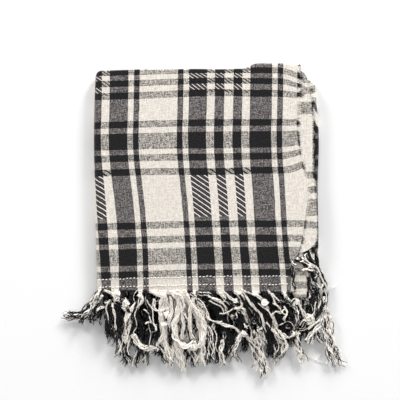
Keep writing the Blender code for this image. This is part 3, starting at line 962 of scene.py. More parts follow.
def strand(yarns, points, pale, chance, cords=6, width=(1.6, 2.4), wander=1.0, roots=None,
           fray=0.0, splay=2.6, plies=3, thick=1.0, flat=0.55):
    """Cords that run along a path and wander across each other, each of a few twisted plies.

    pale is the share of cream cords, or one flag for each. width is the half width of the whole
    at even places along it. The last share, fray, falls apart into single plies.
    """
    line = smooth_path(points, STEP)
    steps = len(line)
    t = np.linspace(0.0, 1.0, steps)[None]
    length = np.linalg.norm(np.diff(line, axis=0), axis=1).sum()
    way = unit(np.gradient(line, axis=0))
    side = unit(np.cross(way, (0.0, 0.0, 1.0)))
    up = np.cross(side, way)
    cord = np.repeat(np.arange(cords), plies)
    ply = np.tile(np.arange(plies), cords)[:, None]
    single = (len(cord), 1)

    # The cords lie in a flat coil round the path and wander in slow waves
    spread = np.interp(t[0], np.linspace(0.0, 1.0, len(width)), width)[None]
    angle = (COIL[0] * cord + FULL_TURN * chance.random())[:, None] + COIL[1] * length * t
    ring = np.sqrt((cord + 0.5) / cords)[:, None] * spread
    phase = FULL_TURN * chance.random((4, cords))[:, cord, None]
    pace = length / (WAVES[0] + WAVES[1] * chance.random((4, cords))[:, cord, None])
    start = share_of(WAVES_BEGIN * t) * wander
    out = ring * np.cos(angle) + start * np.sin(FULL_TURN * pace[0] * t + phase[0])
    rise = flat * ring * np.sin(angle)
    rise = rise + WAVE_UP * start * np.sin(FULL_TURN * pace[1] * t + phase[1])
    ahead = WAVE_AHEAD * start * np.sin(FULL_TURN * pace[2] * t + phase[2])

    # The plies turn round each cord and part where it is frayed
    loose = share_of((t - 1.0 + fray) / max(fray, 1e-3)) ** FRAY_EASE * (fray > 0)
    turn = FULL_TURN * ply / plies + TWIST * length * t + phase[3]
    hold = 0.95 * YARN * thick * (plies > 1)
    out = out + hold * np.cos(turn) + loose * splay * chance.normal(size=single)
    sway = np.sin(FRAY_WAVE[1] * t + FULL_TURN * chance.random(single))
    out += FRAY_WAVE[0] * splay * loose * sway
    rise = rise + hold * np.sin(turn)
    lines = line[None] + side[None] * out[..., None] + up[None] * rise[..., None]
    lines = lines + way[None] * ahead[..., None]
    if roots is not None:
        index = np.linspace(0, len(roots) - 1, len(cord)).round().astype(int)
        gather = share_of(1.0 - t / GATHERED)[..., None] ** GATHER_EASE
        lines += gather * (np.asarray(roots, float)[index][:, None] - lines)

    # Each ply ends at its own length
    reach = 1.0 - (SHORTER[0] + SHORTER[1] * fray) * chance.random(single) ** 1.4
    at = t * reach * (steps - 1)
    k = np.clip(at.astype(int), 0, steps - 2)
    part = (at - k)[..., None]
    index = np.arange(len(cord))[:, None]
    lines = lines[index, k] * (1.0 - part) + lines[index, k + 1] * part
    lines[..., 2] = np.maximum(lines[..., 2], LOWEST_YARN)
    size = YARN * thick * (THICKNESS[0] + THICKNESS[1] * chance.random(single))
    size = size * (1.0 - TAPER * t**4)
    dark = np.asarray(pale) < 0.5 if np.ndim(pale) else chance.random(cords) > pale
    yarns.add(lines, size, yarn_tones(dark, chance)[cord])


def knot(yarns, place, size, pale, chance, loops=5, thick=1.5):
    """A knot: loops of yarn round each other, each at its own tilt."""
    t = np.linspace(0.0, KNOT_TURN, 15)[None, :, None]
    first = unit(chance.normal(size=(loops, 3)) * (1.0, 1.0, 0.5))
    second = unit(np.cross(first, chance.normal(size=(loops, 3))))
    reach = size * (KNOT_REACH[0] + KNOT_REACH[1] * chance.random((2, loops, 1, 1)))
    lines = reach[0] * np.cos(t) * first[:, None] + reach[1] * np.sin(t) * second[:, None]
    lines[..., 2] *= KNOT_FLAT
    shift = KNOT_SPREAD * size * chance.normal(size=(loops, 1, 3)) * (1.0, 1.0, 0.4)
    lines += np.array(place) + shift
    radii = np.full(lines.shape[:2], YARN * thick)
    lines[..., 2] = np.maximum(lines[..., 2], YARN * thick)
    yarns.add(lines, radii, yarn_tones(chance.random(loops) > pale, chance))


FALL = (  # y, height of what the upper fringe lies on
    (-200, 6.6), (-184, 7.2), (-168, 8.2), (-150, 9.6), (-134, 11.2), (-118, 12.9), (-104, 14.6),
    (-94, 17), (-88, 17.9),
)
HEM_START = -133.6
HEM_GROUPS = (  # last root, knots at these points, x and y pairs
    (-126, (0, 1), ((-131, -96), (-136, -104), (-143, -114), (-151, -124))),
    (-116.4, (0,), ((-124, -97), (-119, -108), (-118, -124), (-120, -148))),
    (-106, (0,), ((-110, -98), (-100, -104), (-96, -116), (-100, -134), (-104, -166))),
    (-95, (1,), ((-104, -97), (-106, -108), (-107, -126), (-110, -137))),
    (-83, (1, 2), ((-92, -97), (-88, -110), (-88, -132), (-92, -158))),
    (-76.5, (0, 2), ((-80, -97), (-84, -108), (-92, -128), (-97, -168))),
    (-69.5, (1,), ((-72, -98), (-68, -112), (-68, -132), (-74, -172))),
    (-58, (1,), ((-64, -93), (-52, -97), (-55, -118), (-52, -138), (-58, -160))),
    (-46, (1, 2), ((-52, -98), (-46, -110), (-46, -132), (-50, -150), (-38, -180))),
    (-34, (2,), ((-40, -94), (-32, -104), (-37, -130), (-35, -152), (-28, -184))),
    (-22, (1,), ((-26, -97), (-16, -108), (-8, -128), (-3, -154), (-4, -184))),
    (-8.5, (0, 2), ((-14, -98), (-4, -110), (4, -131), (8, -156), (6, -176))),
    (2, (1, 2), ((0, -99), (12, -110), (22, -127), (30, -144), (28, -172))),
    (13.5, (0, 2), ((9, -96), (24, -106), (36, -118), (46, -132), (40, -150))),
    (23, (1, 2), ((20, -94), (32, -104), (48, -116), (58, -136), (66, -160))),
    (34.5, (1, 2), ((32, -97), (42, -108), (46, -126), (40, -140), (34, -168))),
    (46.5, (1, 2), ((42, -94), (50, -103), (62, -114), (68, -130), (72, -158))),
    (57, (0, 2), ((53, -96), (64, -106), (74, -120), (82, -138), (80, -172))),
    (67.5, (1, 2), ((60, -93), (70, -100), (78, -112), (86, -128), (92, -156))),
    (81, (1, 2), ((76, -97), (84, -110), (92, -124), (98, -136), (90, -150))),
    (94, (1, 2), ((89, -97), (98, -106), (106, -118), (110, -132), (100, -142))),
    (105.5, (1, 2), ((100, -96), (108, -106), (114, -118), (112, -134), (108, -144))),
)
CROSSINGS = (  # share of cream, cords, half width, height over the fall, x and y pairs
    (1, 3, 1.2, 3, ((-125, -88), (-115, -92), (-112, -99), (-112, -104))),
    (1, 2, 0.8, 3, ((-134, -114), (-129, -110), (-123, -109))),
    (0, 9, 3.4, 2.6, ((-118, -106), (-119, -120), (-120, -132), (-121, -147))),
    (0, 7, 2.6, 2.6, ((-107, -104), (-108, -118), (-109, -136))),
    (1, 3, 1, 3.4, ((-115, -106), (-112, -120), (-111, -138))),
    (0.9, 7, 2.4, 3.4, ((-86, -104), (-92, -114), (-98, -126), (-102, -141))),
    (0.1, 8, 3.6, 3.4, ((-80, -97), (-86, -112), (-88, -130), (-92, -152))),
    (0, 8, 2.4, 4.4, ((-70, -95), (-68, -108), (-69, -120), (-66, -132))),
    (0.8, 4, 1.4, 4.8, ((-84, -94), (-78, -99), (-82, -108), (-90, -110))),
    (1, 3, 1.6, 4, ((-63, -99), (-62, -112), (-54, -114), (-48, -108))),
    (1, 6, 1.8, 4.2, ((-52, -94), (-56, -110), (-54, -128), (-52, -142), (-60, -158))),
    (1, 2, 0.8, 5, ((-74, -130), (-68, -127), (-63, -131), (-61, -138), (-66, -141))),
    (1, 7, 4, 3.6, ((-90, -143), (-84, -153), (-76, -160), (-62, -161))),
    (1, 13, 3.2, 4.4, ((-34, -88), (-32, -106), (-37, -128), (-36, -148), (-24, -158),
        (-12, -152))),
    (1, 11, 2.8, 4.8, ((-26, -88), (-16, -106), (-4, -122), (-1, -142), (-8, -158), (-22, -161))),
    (1, 5, 1.6, 5.4, ((-42, -90), (-30, -96), (-26, -108), (-32, -116))),
    (0.2, 5, 2.6, 4, ((-24, -120), (-21, -132), (-18, -146))),
    (0.1, 6, 2, 3.6, ((-47, -124), (-44, -138), (-43, -158))),
    (0.6, 6, 2, 4, ((-18, -92), (-8, -100), (2, -112), (4, -126))),
    (0.1, 8, 3, 3, ((-8, -92), (8, -96), (20, -106), (30, -120))),
    (1, 3, 1, 5, ((15, -86), (26, -92), (33, -99), (42, -104))),
    (1, 3, 0.9, 5, ((36, -111), (42, -110), (46, -106), (44, -101))),
    (1, 2, 0.8, 4.6, ((44, -110), (50, -113), (56, -118))),
    (0.9, 4, 1.4, 4.6, ((4, -96), (12, -98), (18, -102), (26, -109))),
    (0, 7, 2.8, 3.6, ((-96, -112), (-84, -122), (-78, -136), (-80, -150))),
    (0, 7, 2.6, 3.8, ((-76, -118), (-66, -130), (-60, -142), (-58, -154))),
    (0, 6, 2.4, 3.6, ((-104, -118), (-102, -132), (-106, -146), (-100, -158))),
    (0, 7, 2.8, 3.6, ((2, -104), (14, -112), (24, -126), (20, -142))),
    (0, 7, 2.8, 3.6, ((50, -100), (60, -112), (66, -128), (74, -142))),
    (0, 4, 1.4, 5, ((51, -90), (58, -100), (66, -115), (71, -131))),
    (0, 4, 1.4, 4.8, ((43, -94), (51, -108), (56, -125), (61, -144))),
    (1, 1, 0.4, 5.6, ((8, -98), (16, -101), (24, -106), (28, -113))),
    (1, 1, 0.4, 5.6, ((5, -101), (13, -105), (20, -110), (24, -118))),
    (1, 1, 0.4, 5.4, ((18, -117), (26, -116), (33, -113), (38, -108))),
    (1, 1, 0.4, 5.6, ((58, -104), (66, -114), (71, -126), (76, -140))),
    (1, 1, 0.4, 5.4, ((84, -104), (92, -110), (98, -118), (104, -120))),
    (0.9, 6, 2.6, 5, ((-31, -103), (-27, -118), (-26, -134), (-30, -150))),
    (0, 2, 1, 6, ((-28, -114), (-24, -126), (-24, -138), (-28, -147))),
    (1, 6, 2.4, 4.8, ((-14, -98), (-18, -114), (-19, -132), (-15, -150))),
    (0.9, 4, 1.4, 4.8, ((-43, -96), (-41, -112), (-45, -128), (-43, -146))),
    (1, 1, 0.4, 5.4, ((66, -104), (76, -112), (84, -122), (90, -134))),
    (1, 1, 0.4, 5.4, ((-72, -100), (-66, -112), (-64, -124), (-66, -136))),
    (1, 1, 0.4, 5.4, ((-76, -112), (-70, -118), (-66, -128), (-60, -132))),
    (1, 1, 0.4, 5.4, ((-118, -100), (-122, -108), (-121, -120), (-119, -136))),
    (1, 2, 0.7, 5.4, ((46, -89), (52, -98), (60, -110), (70, -118), (74, -134))),
    (1, 4, 1.1, 5.4, ((43, -87), (56, -92), (66, -96), (73, -103))),
    (1, 3, 1.1, 5, ((50, -95), (57, -104), (64, -112))),
    (1, 3, 1.2, 4.8, ((78, -88), (85, -99), (92, -112))),
    (1, 2, 0.8, 4.8, ((84, -92), (90, -100), (97, -106))),
    (1, 2, 0.8, 4.6, ((82, -119), (88, -115), (94, -116), (97, -112), (102, -114))),
    (1, 2, 0.8, 4.6, ((2, -120), (8, -126), (17, -127), (26, -125))),
    (1, 4, 1.6, 4.6, ((15, -128), (26, -132), (36, -134), (44, -142))),
    (0.12, 7, 3.4, 3.6, ((62, -96), (72, -110), (80, -128), (80, -150))),
    (0.15, 7, 3, 3.4, ((80, -92), (92, -100), (104, -104), (112, -100))),
    (0.1, 6, 3, 3.4, ((28, -96), (34, -108), (38, -124), (46, -134))),
    (0.15, 6, 2.6, 3.4, ((88, -112), (96, -126), (106, -134), (112, -128))),
    (0.9, 3, 1, 4.2, ((98, -108), (102, -116), (98, -124), (99, -130))),
    (0.9, 3, 1, 4.2, ((76, -128), (84, -138), (92, -146), (101, -152))),
    (1, 3, 1, 4, ((92, -138), (98, -148), (102, -158), (95, -168))),
    (0.6, 4, 1.2, 4, ((92, -131), (100, -127), (108, -129), (112, -136))),
    (0.8, 4, 1.4, 3.6, ((96, -142), (104, -147), (110, -143), (106, -138))),
)
KNOTS = (  # x, y, height over the fall, size, share of cream, loops
    (-108, -92, 1.5, 4.4, 1, 9),
    (-98, -103, 3.5, 4.6, 0.95, 10),
    (-129, -95, 1.5, 4.6, 0.75, 9),
    (-121, -103, 2.5, 4, 0.6, 8),
    (-114, -107, 3.4, 3.2, 0.8, 6),
    (-101, -110, 3, 3.4, 0.9, 6),
    (-47, -119, 4.4, 4.6, 1, 9),
    (-51, -131, 4.2, 4, 1, 8),
    (-60, -162, 2, 3.4, 0.5, 6),
    (-10, -99, 4, 4, 0.7, 7),
    (-4, -107, 4, 3.4, 0.7, 6),
    (25, -100, 3.5, 3.6, 0.3, 6),
    (38, -101, 4.5, 3.2, 0.8, 5),
    (74, -103, 5.5, 4.4, 1, 9),
    (36, -120, 4, 3.8, 0.85, 7),
    (51, -133, 4, 4.2, 0.7, 7),
    (60, -126, 3, 4, 0.4, 7),
    (48, -142, 4, 3.8, 0.95, 8),
    (68, -137, 4, 4.4, 0.5, 8),
    (62, -146, 3.4, 3.6, 0.6, 6),
    (98, -102, 3, 3.8, 0.3, 6),
    (102, -134, 3, 4, 0.4, 6),
    (16, -124, 2, 4, 0.1, 6),
    (80, -114, 3, 4, 0.1, 6),
    (-14, -158, 3.4, 5, 1, 9),
)
TASSELS = (  # share of cream, cords, splay, x y z points
    (0.7, 5, 2.6, ((-148, -117, 6), (-158, -122, 3), (-168, -121, 1.5), (-177, -118, 1))),
    (0, 5, 0.9, ((-147, -112, 8), (-152, -121, 5), (-154, -130, 2.4))),
    (1, 2, 0.5, ((-140, -108, 8), (-143, -118, 5), (-145, -130, 2))),
    (0, 4, 0.7, ((-137, -108, 7), (-139, -118, 4.6), (-143, -129, 2))),
    (0.7, 5, 2.4, ((-101, -136, 8), (-104, -150, 5), (-107, -174, 1.2))),
    (0.4, 5, 3.4, ((-94, -152, 5.5), (-98, -166, 2.6), (-94, -182, 1))),
    (0.5, 5, 3.4, ((-84, -156, 4.6), (-84, -170, 2), (-88, -184, 1))),
    (0.4, 4, 3, ((-72, -160, 4), (-72, -170, 2), (-76, -181, 1))),
    (1, 5, 2, ((-58, -152, 5.5), (-52, -166, 3.2), (-46, -182, 1.2))),
    (1, 6, 2.4, ((-52, -152, 5.8), (-42, -164, 3.6), (-34, -178, 1.4))),
    (1, 5, 1.8, ((-40, -156, 5), (-36, -168, 3), (-32, -182, 1.2))),
    (1, 5, 1.4, ((-30, -156, 5.2), (-27, -172, 2.6), (-26, -190, 1.2))),
    (1, 4, 1.2, ((-18, -156, 5), (-18, -170, 2.6), (-11, -184, 1.2))),
    (0.9, 5, 2, ((-4, -150, 6), (-2, -166, 3), (0, -182, 1.2))),
    (1, 4, 1.6, ((2, -146, 6), (4, -164, 2.8), (-2, -178, 1.2))),
    (0.1, 7, 2.4, ((10, -138, 7), (11, -156, 3.4), (12, -170, 1.2))),
    (0.8, 4, 1.4, ((11, -130, 8.4), (12, -140, 6), (15, -152, 4))),
    (0.9, 5, 1.6, ((20, -134, 8), (25, -146, 5), (27, -160, 3))),
    (0.1, 7, 3.4, ((26, -140, 6), (22, -158, 2.6), (20, -174, 1))),
    (1, 4, 2.2, ((17, -156, 3.4), (19, -168, 2), (26, -183, 1))),
    (1, 6, 2.2, ((42, -142, 7.6), (37, -154, 4.4), (34, -170, 1.6))),
    (0, 5, 2, ((48, -146, 5), (50, -156, 3), (48, -166, 1.2))),
    (1, 6, 1.6, ((50, -142, 7.6), (58, -156, 5), (64, -172, 2.4), (64, -190, 1))),
    (1, 6, 1.8, ((52, -144, 7), (64, -158, 4.6), (73, -176, 2.2), (78, -194, 1))),
    (1, 4, 1.6, ((70, -164, 3.4), (74, -180, 1.8), (72, -199, 1))),
    (0, 8, 2.4, ((74, -136, 7.6), (80, -154, 4.2), (82, -174, 1.4))),
    (1, 5, 1.4, ((84, -132, 8.4), (89, -146, 5.6), (88, -162, 2.8), (86, -181, 1.2))),
    (0.9, 3, 1, ((93, -138, 7.4), (99, -150, 4.6), (95, -162, 2.4), (90, -172, 1.2))),
    (0, 7, 2.6, ((2, -140, 7), (4, -160, 4), (7, -180, 1.5))),
    (0.1, 8, 3, ((16, -146, 6), (17, -162, 3.4), (18, -180, 1.2))),
    (0.15, 5, 2, ((27, -146, 5), (25, -160, 2.6), (24, -174, 1))),
    (0.9, 5, 2, ((41, -150, 6), (37, -164, 3.4), (37, -179, 1.2))),
    (0.2, 6, 2.4, ((70, -150, 5), (71, -168, 3), (69, -186, 1.4))),
    (0, 6, 2, ((88, -146, 6), (90, -160, 3), (87, -172, 1.4))),
    (1, 4, 1.6, ((95, -150, 5), (97, -160, 3), (91, -174, 1.4))),
    (0.2, 6, 2.6, ((-100, -146, 6), (-99, -164, 3), (-95, -180, 1.2))),
    (0.3, 5, 2.4, ((-78, -156, 5), (-80, -166, 3), (-82, -178, 1.2))),
    (1, 6, 2.4, ((-37, -150, 6), (-40, -168, 3), (-42, -184, 1.4))),
    (1, 5, 2, ((-14, -150, 6), (-12, -166, 3.6), (-17, -182, 1.4))),
    (0, 6, 2.2, ((-24, -154, 4), (-24, -166, 2.4), (-27, -176, 1.2))),
    (0, 6, 2.2, ((-58, -150, 4), (-56, -162, 2.4), (-60, -172, 1.2))),
    (1, 7, 2.6, ((45, -142, 9.4), (39, -154, 7.4), (34, -171, 4.4))),
    (1, 5, 2, ((22, -150, 7), (20, -164, 5.4), (24, -180, 3))),
)
TASSEL_LIFT = 4.5
# The second share is for the dark core yarns: black yarns that also serve as painted shade between the
# cream ones
TASSEL_CREAM = (0.94, 0.25)
TASSEL_WIDTHS = (1.2, 3.0, 4.2)
TASSEL_CORE = (1.0, 2.6, 4.0)
UNDER_CREAM = (-56.0, 2.0)
GROUP_WIDTHS = (4.0, 2.2, 3.4, 2.0, 3.6, 3.8)
GROUP_OVER = 1.6
END_OVER = 0.4
ROOT_PITCH = 0.62
ROOT_EDGE = 0.2
ROOT_INSET = 1.4
ROOT_HEIGHT = STACK_HEIGHT - 0.5
LINE_INSET = 0.8


def hang(yarns, tassel, chance):
    """A tassel: its yarns leave the last knot together and end apart, with dark ones between, which
    are partly black yarns and partly painted shade in the gaps between the cream ones.
    """
    pale, cords, splay, places = tassel
    points = [(x, y, z + TASSEL_LIFT) for x, y, z in places]
    strand(yarns, points, TASSEL_CREAM[0] * pale, chance, cords=cords, width=TASSEL_WIDTHS, wander=1.6,
           fray=0.5, splay=splay, plies=2, thick=1.1)
    strand(yarns, points, TASSEL_CREAM[1] * pale, chance, cords=5, width=TASSEL_CORE, wander=2.2,
           fray=0.4, splay=1.2 * splay, plies=1, thick=1.2)


def over_fall(places, over):
    """Points over the fall of the fringe, which come down to it at their end."""
    overs = [over] * (len(places) - 1) + [over * END_OVER]
    return [(x, y, float(curve(FALL, y)) + up) for (x, y), up in zip(places, overs)]


def upper_fringe(finish, chance):
    """The upper hem's fringe: groups of yarns, knotted and crossing, that end in tassels."""
    left, right = Yarns(), Yarns()

    def half(x):
        return left if x < 0.0 else right

    first = HEM_START
    for last, knots, places in HEM_GROUPS:
        yarns = half(first)
        count = max(int((last - first) / ROOT_PITCH), 6)
        roots_x = np.linspace(first + ROOT_EDGE, last - ROOT_EDGE, count)
        pale = warp_tone(roots_x)
        roots_y = curve(HEM, roots_x) + ROOT_INSET
        roots = np.stack((roots_x, roots_y, np.full(count, ROOT_HEIGHT)), axis=1)
        middle = (first + last) / 2
        start = (middle, float(curve(HEM, middle)) + LINE_INSET, ROOT_HEIGHT)
        line = [start] + over_fall(places, GROUP_OVER)
        strand(yarns, line, pale, chance, cords=count, width=GROUP_WIDTHS, wander=1.3,
               roots=roots, fray=0.3, plies=1, thick=1.3, splay=1.6)
        for k in knots:
            x, y, z = line[k + 1]
            knot(yarns, (x, y, z + 0.8), 3.6, float(np.mean(pale)) * 0.8, chance, loops=6)
        first = last
    for pale, cords, width, over, places in CROSSINGS:
        strand(half(places[0][0]), over_fall(places, over), pale, chance, cords=cords,
               width=(0.6 * width, width, 0.7 * width), wander=0.5 + 0.25 * width, thick=1.15)
    for x, y, over, size, pale, loops in KNOTS:
        place = (x, y, float(curve(FALL, y)) + over)
        knot(half(x), place, size, pale, chance, loops=loops)
    for tassel in TASSELS:
        hang(half(tassel[-1][0][0]), tassel, chance)
    return left.piece("fringe_upper_left", finish), right.piece("fringe_upper_right", finish)


ROW_SHARES = (0.1, 0.24, 0.42, 0.6, 0.8, 1.0)
ROW_END = 0.9
Row = namedtuple("Row", "first last z front cords long drift offset over")


def under_fringe(name, rows, finish, chance):
    """Fringe rows under the upper one: a tangle of cords and knots, each from its own hem."""
    yarns = Yarns()
    for row in rows:
        for k in range(row.cords):
            x0 = row.first + (row.last - row.first) * (k + chance.random()) / row.cords
            cream = UNDER_CREAM[0] < x0 < UNDER_CREAM[1]
            tone = float(warp_tone(x0 if cream else x0 + row.offset))
            pale = tone * (chance.random() < (0.9 if cream else 0.3))
            y0 = float(curve(HEM, x0)) + row.front
            long = row.long * (0.78 + 0.3 * chance.random())
            line = [(x0, y0, row.z)]
            for share in ROW_SHARES:
                drift = row.drift * min(share * 2.0, 1.0)
                x = x0 + drift + 3.0 * share * chance.normal() + 1.4 * chance.normal()
                z = ROW_END + (row.z - ROW_END) * (1.0 - share) ** 1.1
                z += row.over * (0.5 < share * 4.0 < 3.5)
                line.append((x, y0 - long * share + 1.2 * chance.normal(), z))
            strand(yarns, line, [pale], chance, cords=1, width=(0.1, 0.1), wander=1.6, fray=0.35,
                   splay=2.2)
            if k % 4 == 0:
                x, y, z = line[2 + k % 2]
                knot(yarns, (x, y, z + 0.4), 3.4, 0.35 + 0.3 * pale, chance, loops=4)
    return yarns.piece(name, finish)


LEFT_BUNDLES = (  # root angle round the fold from, to, share of cream, cords, knots, x y z points
    (100, 124, 0.5, 7, (0, 2), ((-135, -98, 15), (-139, -105, 13), (-146, -113, 9.6),
        (-154, -124, 5))),
    (124, 150, 0.4, 6, (1,), ((-136, -97, 11), (-141, -106, 9.4), (-147, -114, 7),
        (-150, -124, 4))),
    (150, 178, 0.4, 6, (1,), ((-137, -98, 8), (-139, -108, 7), (-142, -117, 5), (-152, -121, 2.4))),
    (178, 206, 0.6, 5, (), ((-137, -97, 5), (-145, -108, 4.4), (-158, -119, 2.6),
        (-172, -115, 1.2))),
    (206, 238, 0.3, 6, (1,), ((-134, -98, 3.4), (-133, -108, 3.4), (-131, -116, 3),
        (-138, -128, 1.4))),
)
STRAYS = (  # single yarns: tone, points x y z
    (0.9, ((-136, -124, 4), (-130, -127, 2.6), (-126.5, -134, 1))),
    (0.9, ((-158, -124, 3.4), (-168, -121, 2), (-177, -115, 1))),
    (0.85, ((-160, -127, 2.4), (-170, -127, 1.4), (-175, -124.5, 0.9))),
    (0.9, ((-156, -126, 3.4), (-166, -119, 2.4), (-174, -117, 1.2), (-176.5, -120, 0.9))),
)


LEFT_WIDTHS = (2.4, 2.2, 2.8, 2.6)
STRAY_STEP = 1.6


def rooted(roots, places):
    """A path from the middle root on."""
    return [tuple(roots[len(roots) // 2])] + list(places)


def left_fringe(finish, chance):
    """Bundles that leave the end of the left fold."""
    yarns = Yarns()
    middle_x = float(curve(LEFT_FOLD, -89.0)) + FOLD_REACH["left"]
    y0 = float(curve(HEM, -134.0)) + LINE_INSET
    radius = FOLD_REACH["left"] - 0.6
    for first, last, pale, cords, knots, places in LEFT_BUNDLES:
        angles = np.radians(np.linspace(first, last, 3 * cords))
        roots_x = middle_x + radius * np.cos(angles)
        roots_z = LEFT_MIDDLE + radius * np.sin(angles)
        roots = np.stack((roots_x, np.full(len(angles), y0), roots_z), axis=1)
        strand(yarns, rooted(roots, places), pale, chance, cords=cords, width=LEFT_WIDTHS,
               roots=roots, wander=1.2, fray=0.2, splay=0.9, thick=1.2)
        for k in knots:
            x, y, z = places[k]
            knot(yarns, (x, y, z + 0.6), 3.8, 0.6, chance, loops=7)
    strays(yarns, STRAYS)
    return yarns.piece("fringe_left_bundles", finish)


def strays(yarns, rows):
    """Single yarns that lie apart."""
    for tone, places in rows:
        line = smooth_path(places, STRAY_STEP)
        yarns.add(line[None], np.full((1, len(line)), YARN * 0.9), [tone])


SECOND_HEM_LINE = (  # x, y, z round the rounded hem corner
    (104, -49, 16.6),
    (113.4, -47.2, 16.6),
    (118, -46.6, 16.6),
    (123.2, -44.6, 16.6),
    (128.6, -40.2, 16.6),
    (132.2, -35.4, 16.6),
    (135, -26.4, 16.6),
)
SECOND_ROPES = (  # root from, to along the hem, share of cream, cords, half width, x y z points
    (0, 0.2, 0.2, 4, 1.8, ((108, -54, 18.6), (109, -68, 18.4), (110, -82, 17.6), (112, -94, 15))),
    (0.05, 0.35, 0.13, 8, 2.8, ((114, -51, 19), (124, -57, 18), (132, -68, 16), (136, -82, 13),
        (134, -96, 11), (128, -106, 10))),
    (0.2, 0.55, 0.22, 9, 2.8, ((121, -48, 19), (131, -54, 17), (140, -65, 14), (146, -78, 11.6),
        (149, -92, 10), (148, -108, 9))),
    (0.5, 0.8, 0.16, 8, 2.4, ((129, -46, 17), (138, -57, 13), (145, -70, 10), (150, -86, 8.6),
        (150, -102, 8), (144, -118, 7))),
    (0.75, 1, 0.2, 6, 1.8, ((136, -44, 12), (141, -58, 8), (146, -76, 6), (149, -98, 5),
        (150, -116, 5))),
)
SECOND_CROSSINGS = (  # share of cream, cords, half width, x y z points
    (0.1, 8, 3.2, ((118, -94, 13), (128, -100, 13), (136, -110, 11), (138, -124, 9))),
    (0.1, 8, 3.2, ((142, -96, 11), (136, -112, 10.6), (128, -122, 10), (118, -132, 8))),
    (0.2, 7, 2.8, ((122, -98, 12), (120, -112, 11.6), (114, -126, 10), (106, -138, 7))),
    (1, 5, 1.8, ((112, -98, 15), (116, -106, 14.6), (121, -114, 13), (125, -122, 12))),
    (1, 3, 1, ((126, -118, 13), (133, -120, 12.6), (134, -128, 11.6), (126, -131, 11))),
    (1, 2, 0.8, ((118, -132, 10), (124, -126, 12), (130, -130, 11.6))),
    (1, 3, 1, ((134, -64, 18), (128, -62, 19), (120, -64, 19.2))),
    (0.6, 4, 1.4, ((132, -78, 16.4), (139, -82, 15), (144, -86, 13), (147, -92, 11.6))),
    (0, 6, 2.4, ((133, -66, 16), (136, -78, 15), (140, -92, 13.6), (141, -106, 12))),
    (0, 6, 2.4, ((128, -72, 15.6), (130, -86, 14.6), (132, -98, 13.6), (130, -112, 12.4))),
    (0, 6, 2.4, ((146, -96, 10.8), (145, -108, 10.8), (141, -118, 10.6), (134, -126, 10.4))),
    (1, 3, 1, ((130, -88, 14.6), (131, -96, 14.2), (126, -100, 14))),
    (0.7, 5, 1.6, ((140, -92, 13), (142, -102, 12), (140, -112, 11.4))),
    (1, 8, 3, ((148, -128, 8.6), (139, -137, 8.4), (131, -146, 6.6), (125, -151, 5))),
    (1, 4, 1.4, ((128, -137, 9.4), (133, -132, 10), (140, -128, 9.6), (146, -122, 8.8))),
    (0.8, 6, 2, ((150, -108, 9.6), (148, -122, 8.6), (152, -138, 6.6), (158, -152, 4.4))),
    (0.2, 5, 1.8, ((104, -128, 9), (112, -136, 8.6), (120, -138, 8), (126, -134, 8))),
)
SECOND_KNOTS = (  # x, y, z, size, share of cream, loops
    (118, -51, 18.6, 3.6, 0.5, 7),
    (110, -56, 18.8, 3.4, 0.5, 6),
    (131, -59, 17.4, 4, 0.5, 8),
    (139, -70, 15, 3.8, 0.3, 7),
    (145, -84, 12, 4, 0.5, 8),
    (134, -86, 13.6, 3.8, 0.4, 7),
    (114, -103, 15, 4, 1, 8),
    (128, -124, 12, 5, 0.9, 9),
    (148, -100, 10, 4, 0.5, 7),
    (140, -104, 11.6, 4, 0.3, 7),
    (116, -142, 7, 3.2, 0.9, 6),
    (149, -112, 9, 3.6, 0.7, 6),
    (108, -122, 10, 4, 0.2, 7),
    (111, -134, 8.6, 3.6, 0.5, 6),
)
SECOND_TASSELS = (  # as TASSELS
    (1, 5, 1.7, ((116, -142, 7), (116, -152, 4.6), (119, -164, 2.6), (124, -182, 1))),
    (1, 5, 1.4, ((113, -140, 7), (114, -154, 4), (118, -168, 2), (120, -180, 1))),
    (0.1, 4, 0.8, ((111, -138, 7), (110, -148, 4.6), (112, -158, 3))),
    (0.9, 6, 1.9, ((149, -112, 9), (148, -132, 7), (153, -154, 3.6), (158, -184, 1))),
    (1, 5, 1.7, ((150, -118, 8), (152, -140, 5.4), (156, -160, 2.8), (163, -183, 1))),
    (0.7, 5, 2, ((150, -108, 8.4), (156, -130, 5), (158, -152, 2.8), (154, -181, 1))),
    (0.8, 2, 1.6, ((154, -140, 4), (162, -160, 2), (172, -182, 0.9))),
    (1, 5, 1.4, ((136, -140, 7.6), (133, -148, 5), (128, -154, 3))),
    (1, 3, 1.4, ((140, -138, 7), (143, -148, 4), (146, -156, 2))),
)
SECOND_STRAYS = (  # as STRAYS
    (0.95, ((122, -165, 2.6), (130, -171, 1.6), (140, -177, 1.2), (152, -181, 1.2))),
    (0.95, ((138, -176, 1.8), (142, -172, 1.6), (144, -168, 1.2))),
    (0.9, ((160, -172, 2), (168, -178, 1.2), (176, -183, 0.9))),
    (0.85, ((150, -82, 6), (158, -85, 3), (163, -84, 1.2))),
)


def second_fringe(finish, chance):
    """The fringe of the second sheet's rounded hem corner, knotted down the right side."""
    yarns = Yarns()
    hem = smooth_path(SECOND_HEM_LINE, 0.5)
    for first, last, pale, cords, width, places in SECOND_ROPES:
        index = (np.linspace(first, last, 3 * cords) * (len(hem) - 1)).astype(int)
        roots = hem[index]
        widths = (width, width, 0.6 * width, width, 0.7 * width)
        strand(yarns, rooted(roots, places), pale, chance, cords=cords, width=widths,
               wander=1.2, roots=roots)
    for pale, cords, width, places in SECOND_CROSSINGS:
        strand(yarns, places, pale, chance, cords=cords, width=(0.6 * width, width, 0.8 * width),
               wander=0.5 + 0.25 * width)
    for x, y, z, size, pale, loops in SECOND_KNOTS:
        knot(yarns, (x, y, z), size, pale, chance, loops=loops)
    for tassel in SECOND_TASSELS:
        hang(yarns, tassel, chance)
    strays(yarns, SECOND_STRAYS)
    return yarns.piece("fringe_second_bundles", finish)


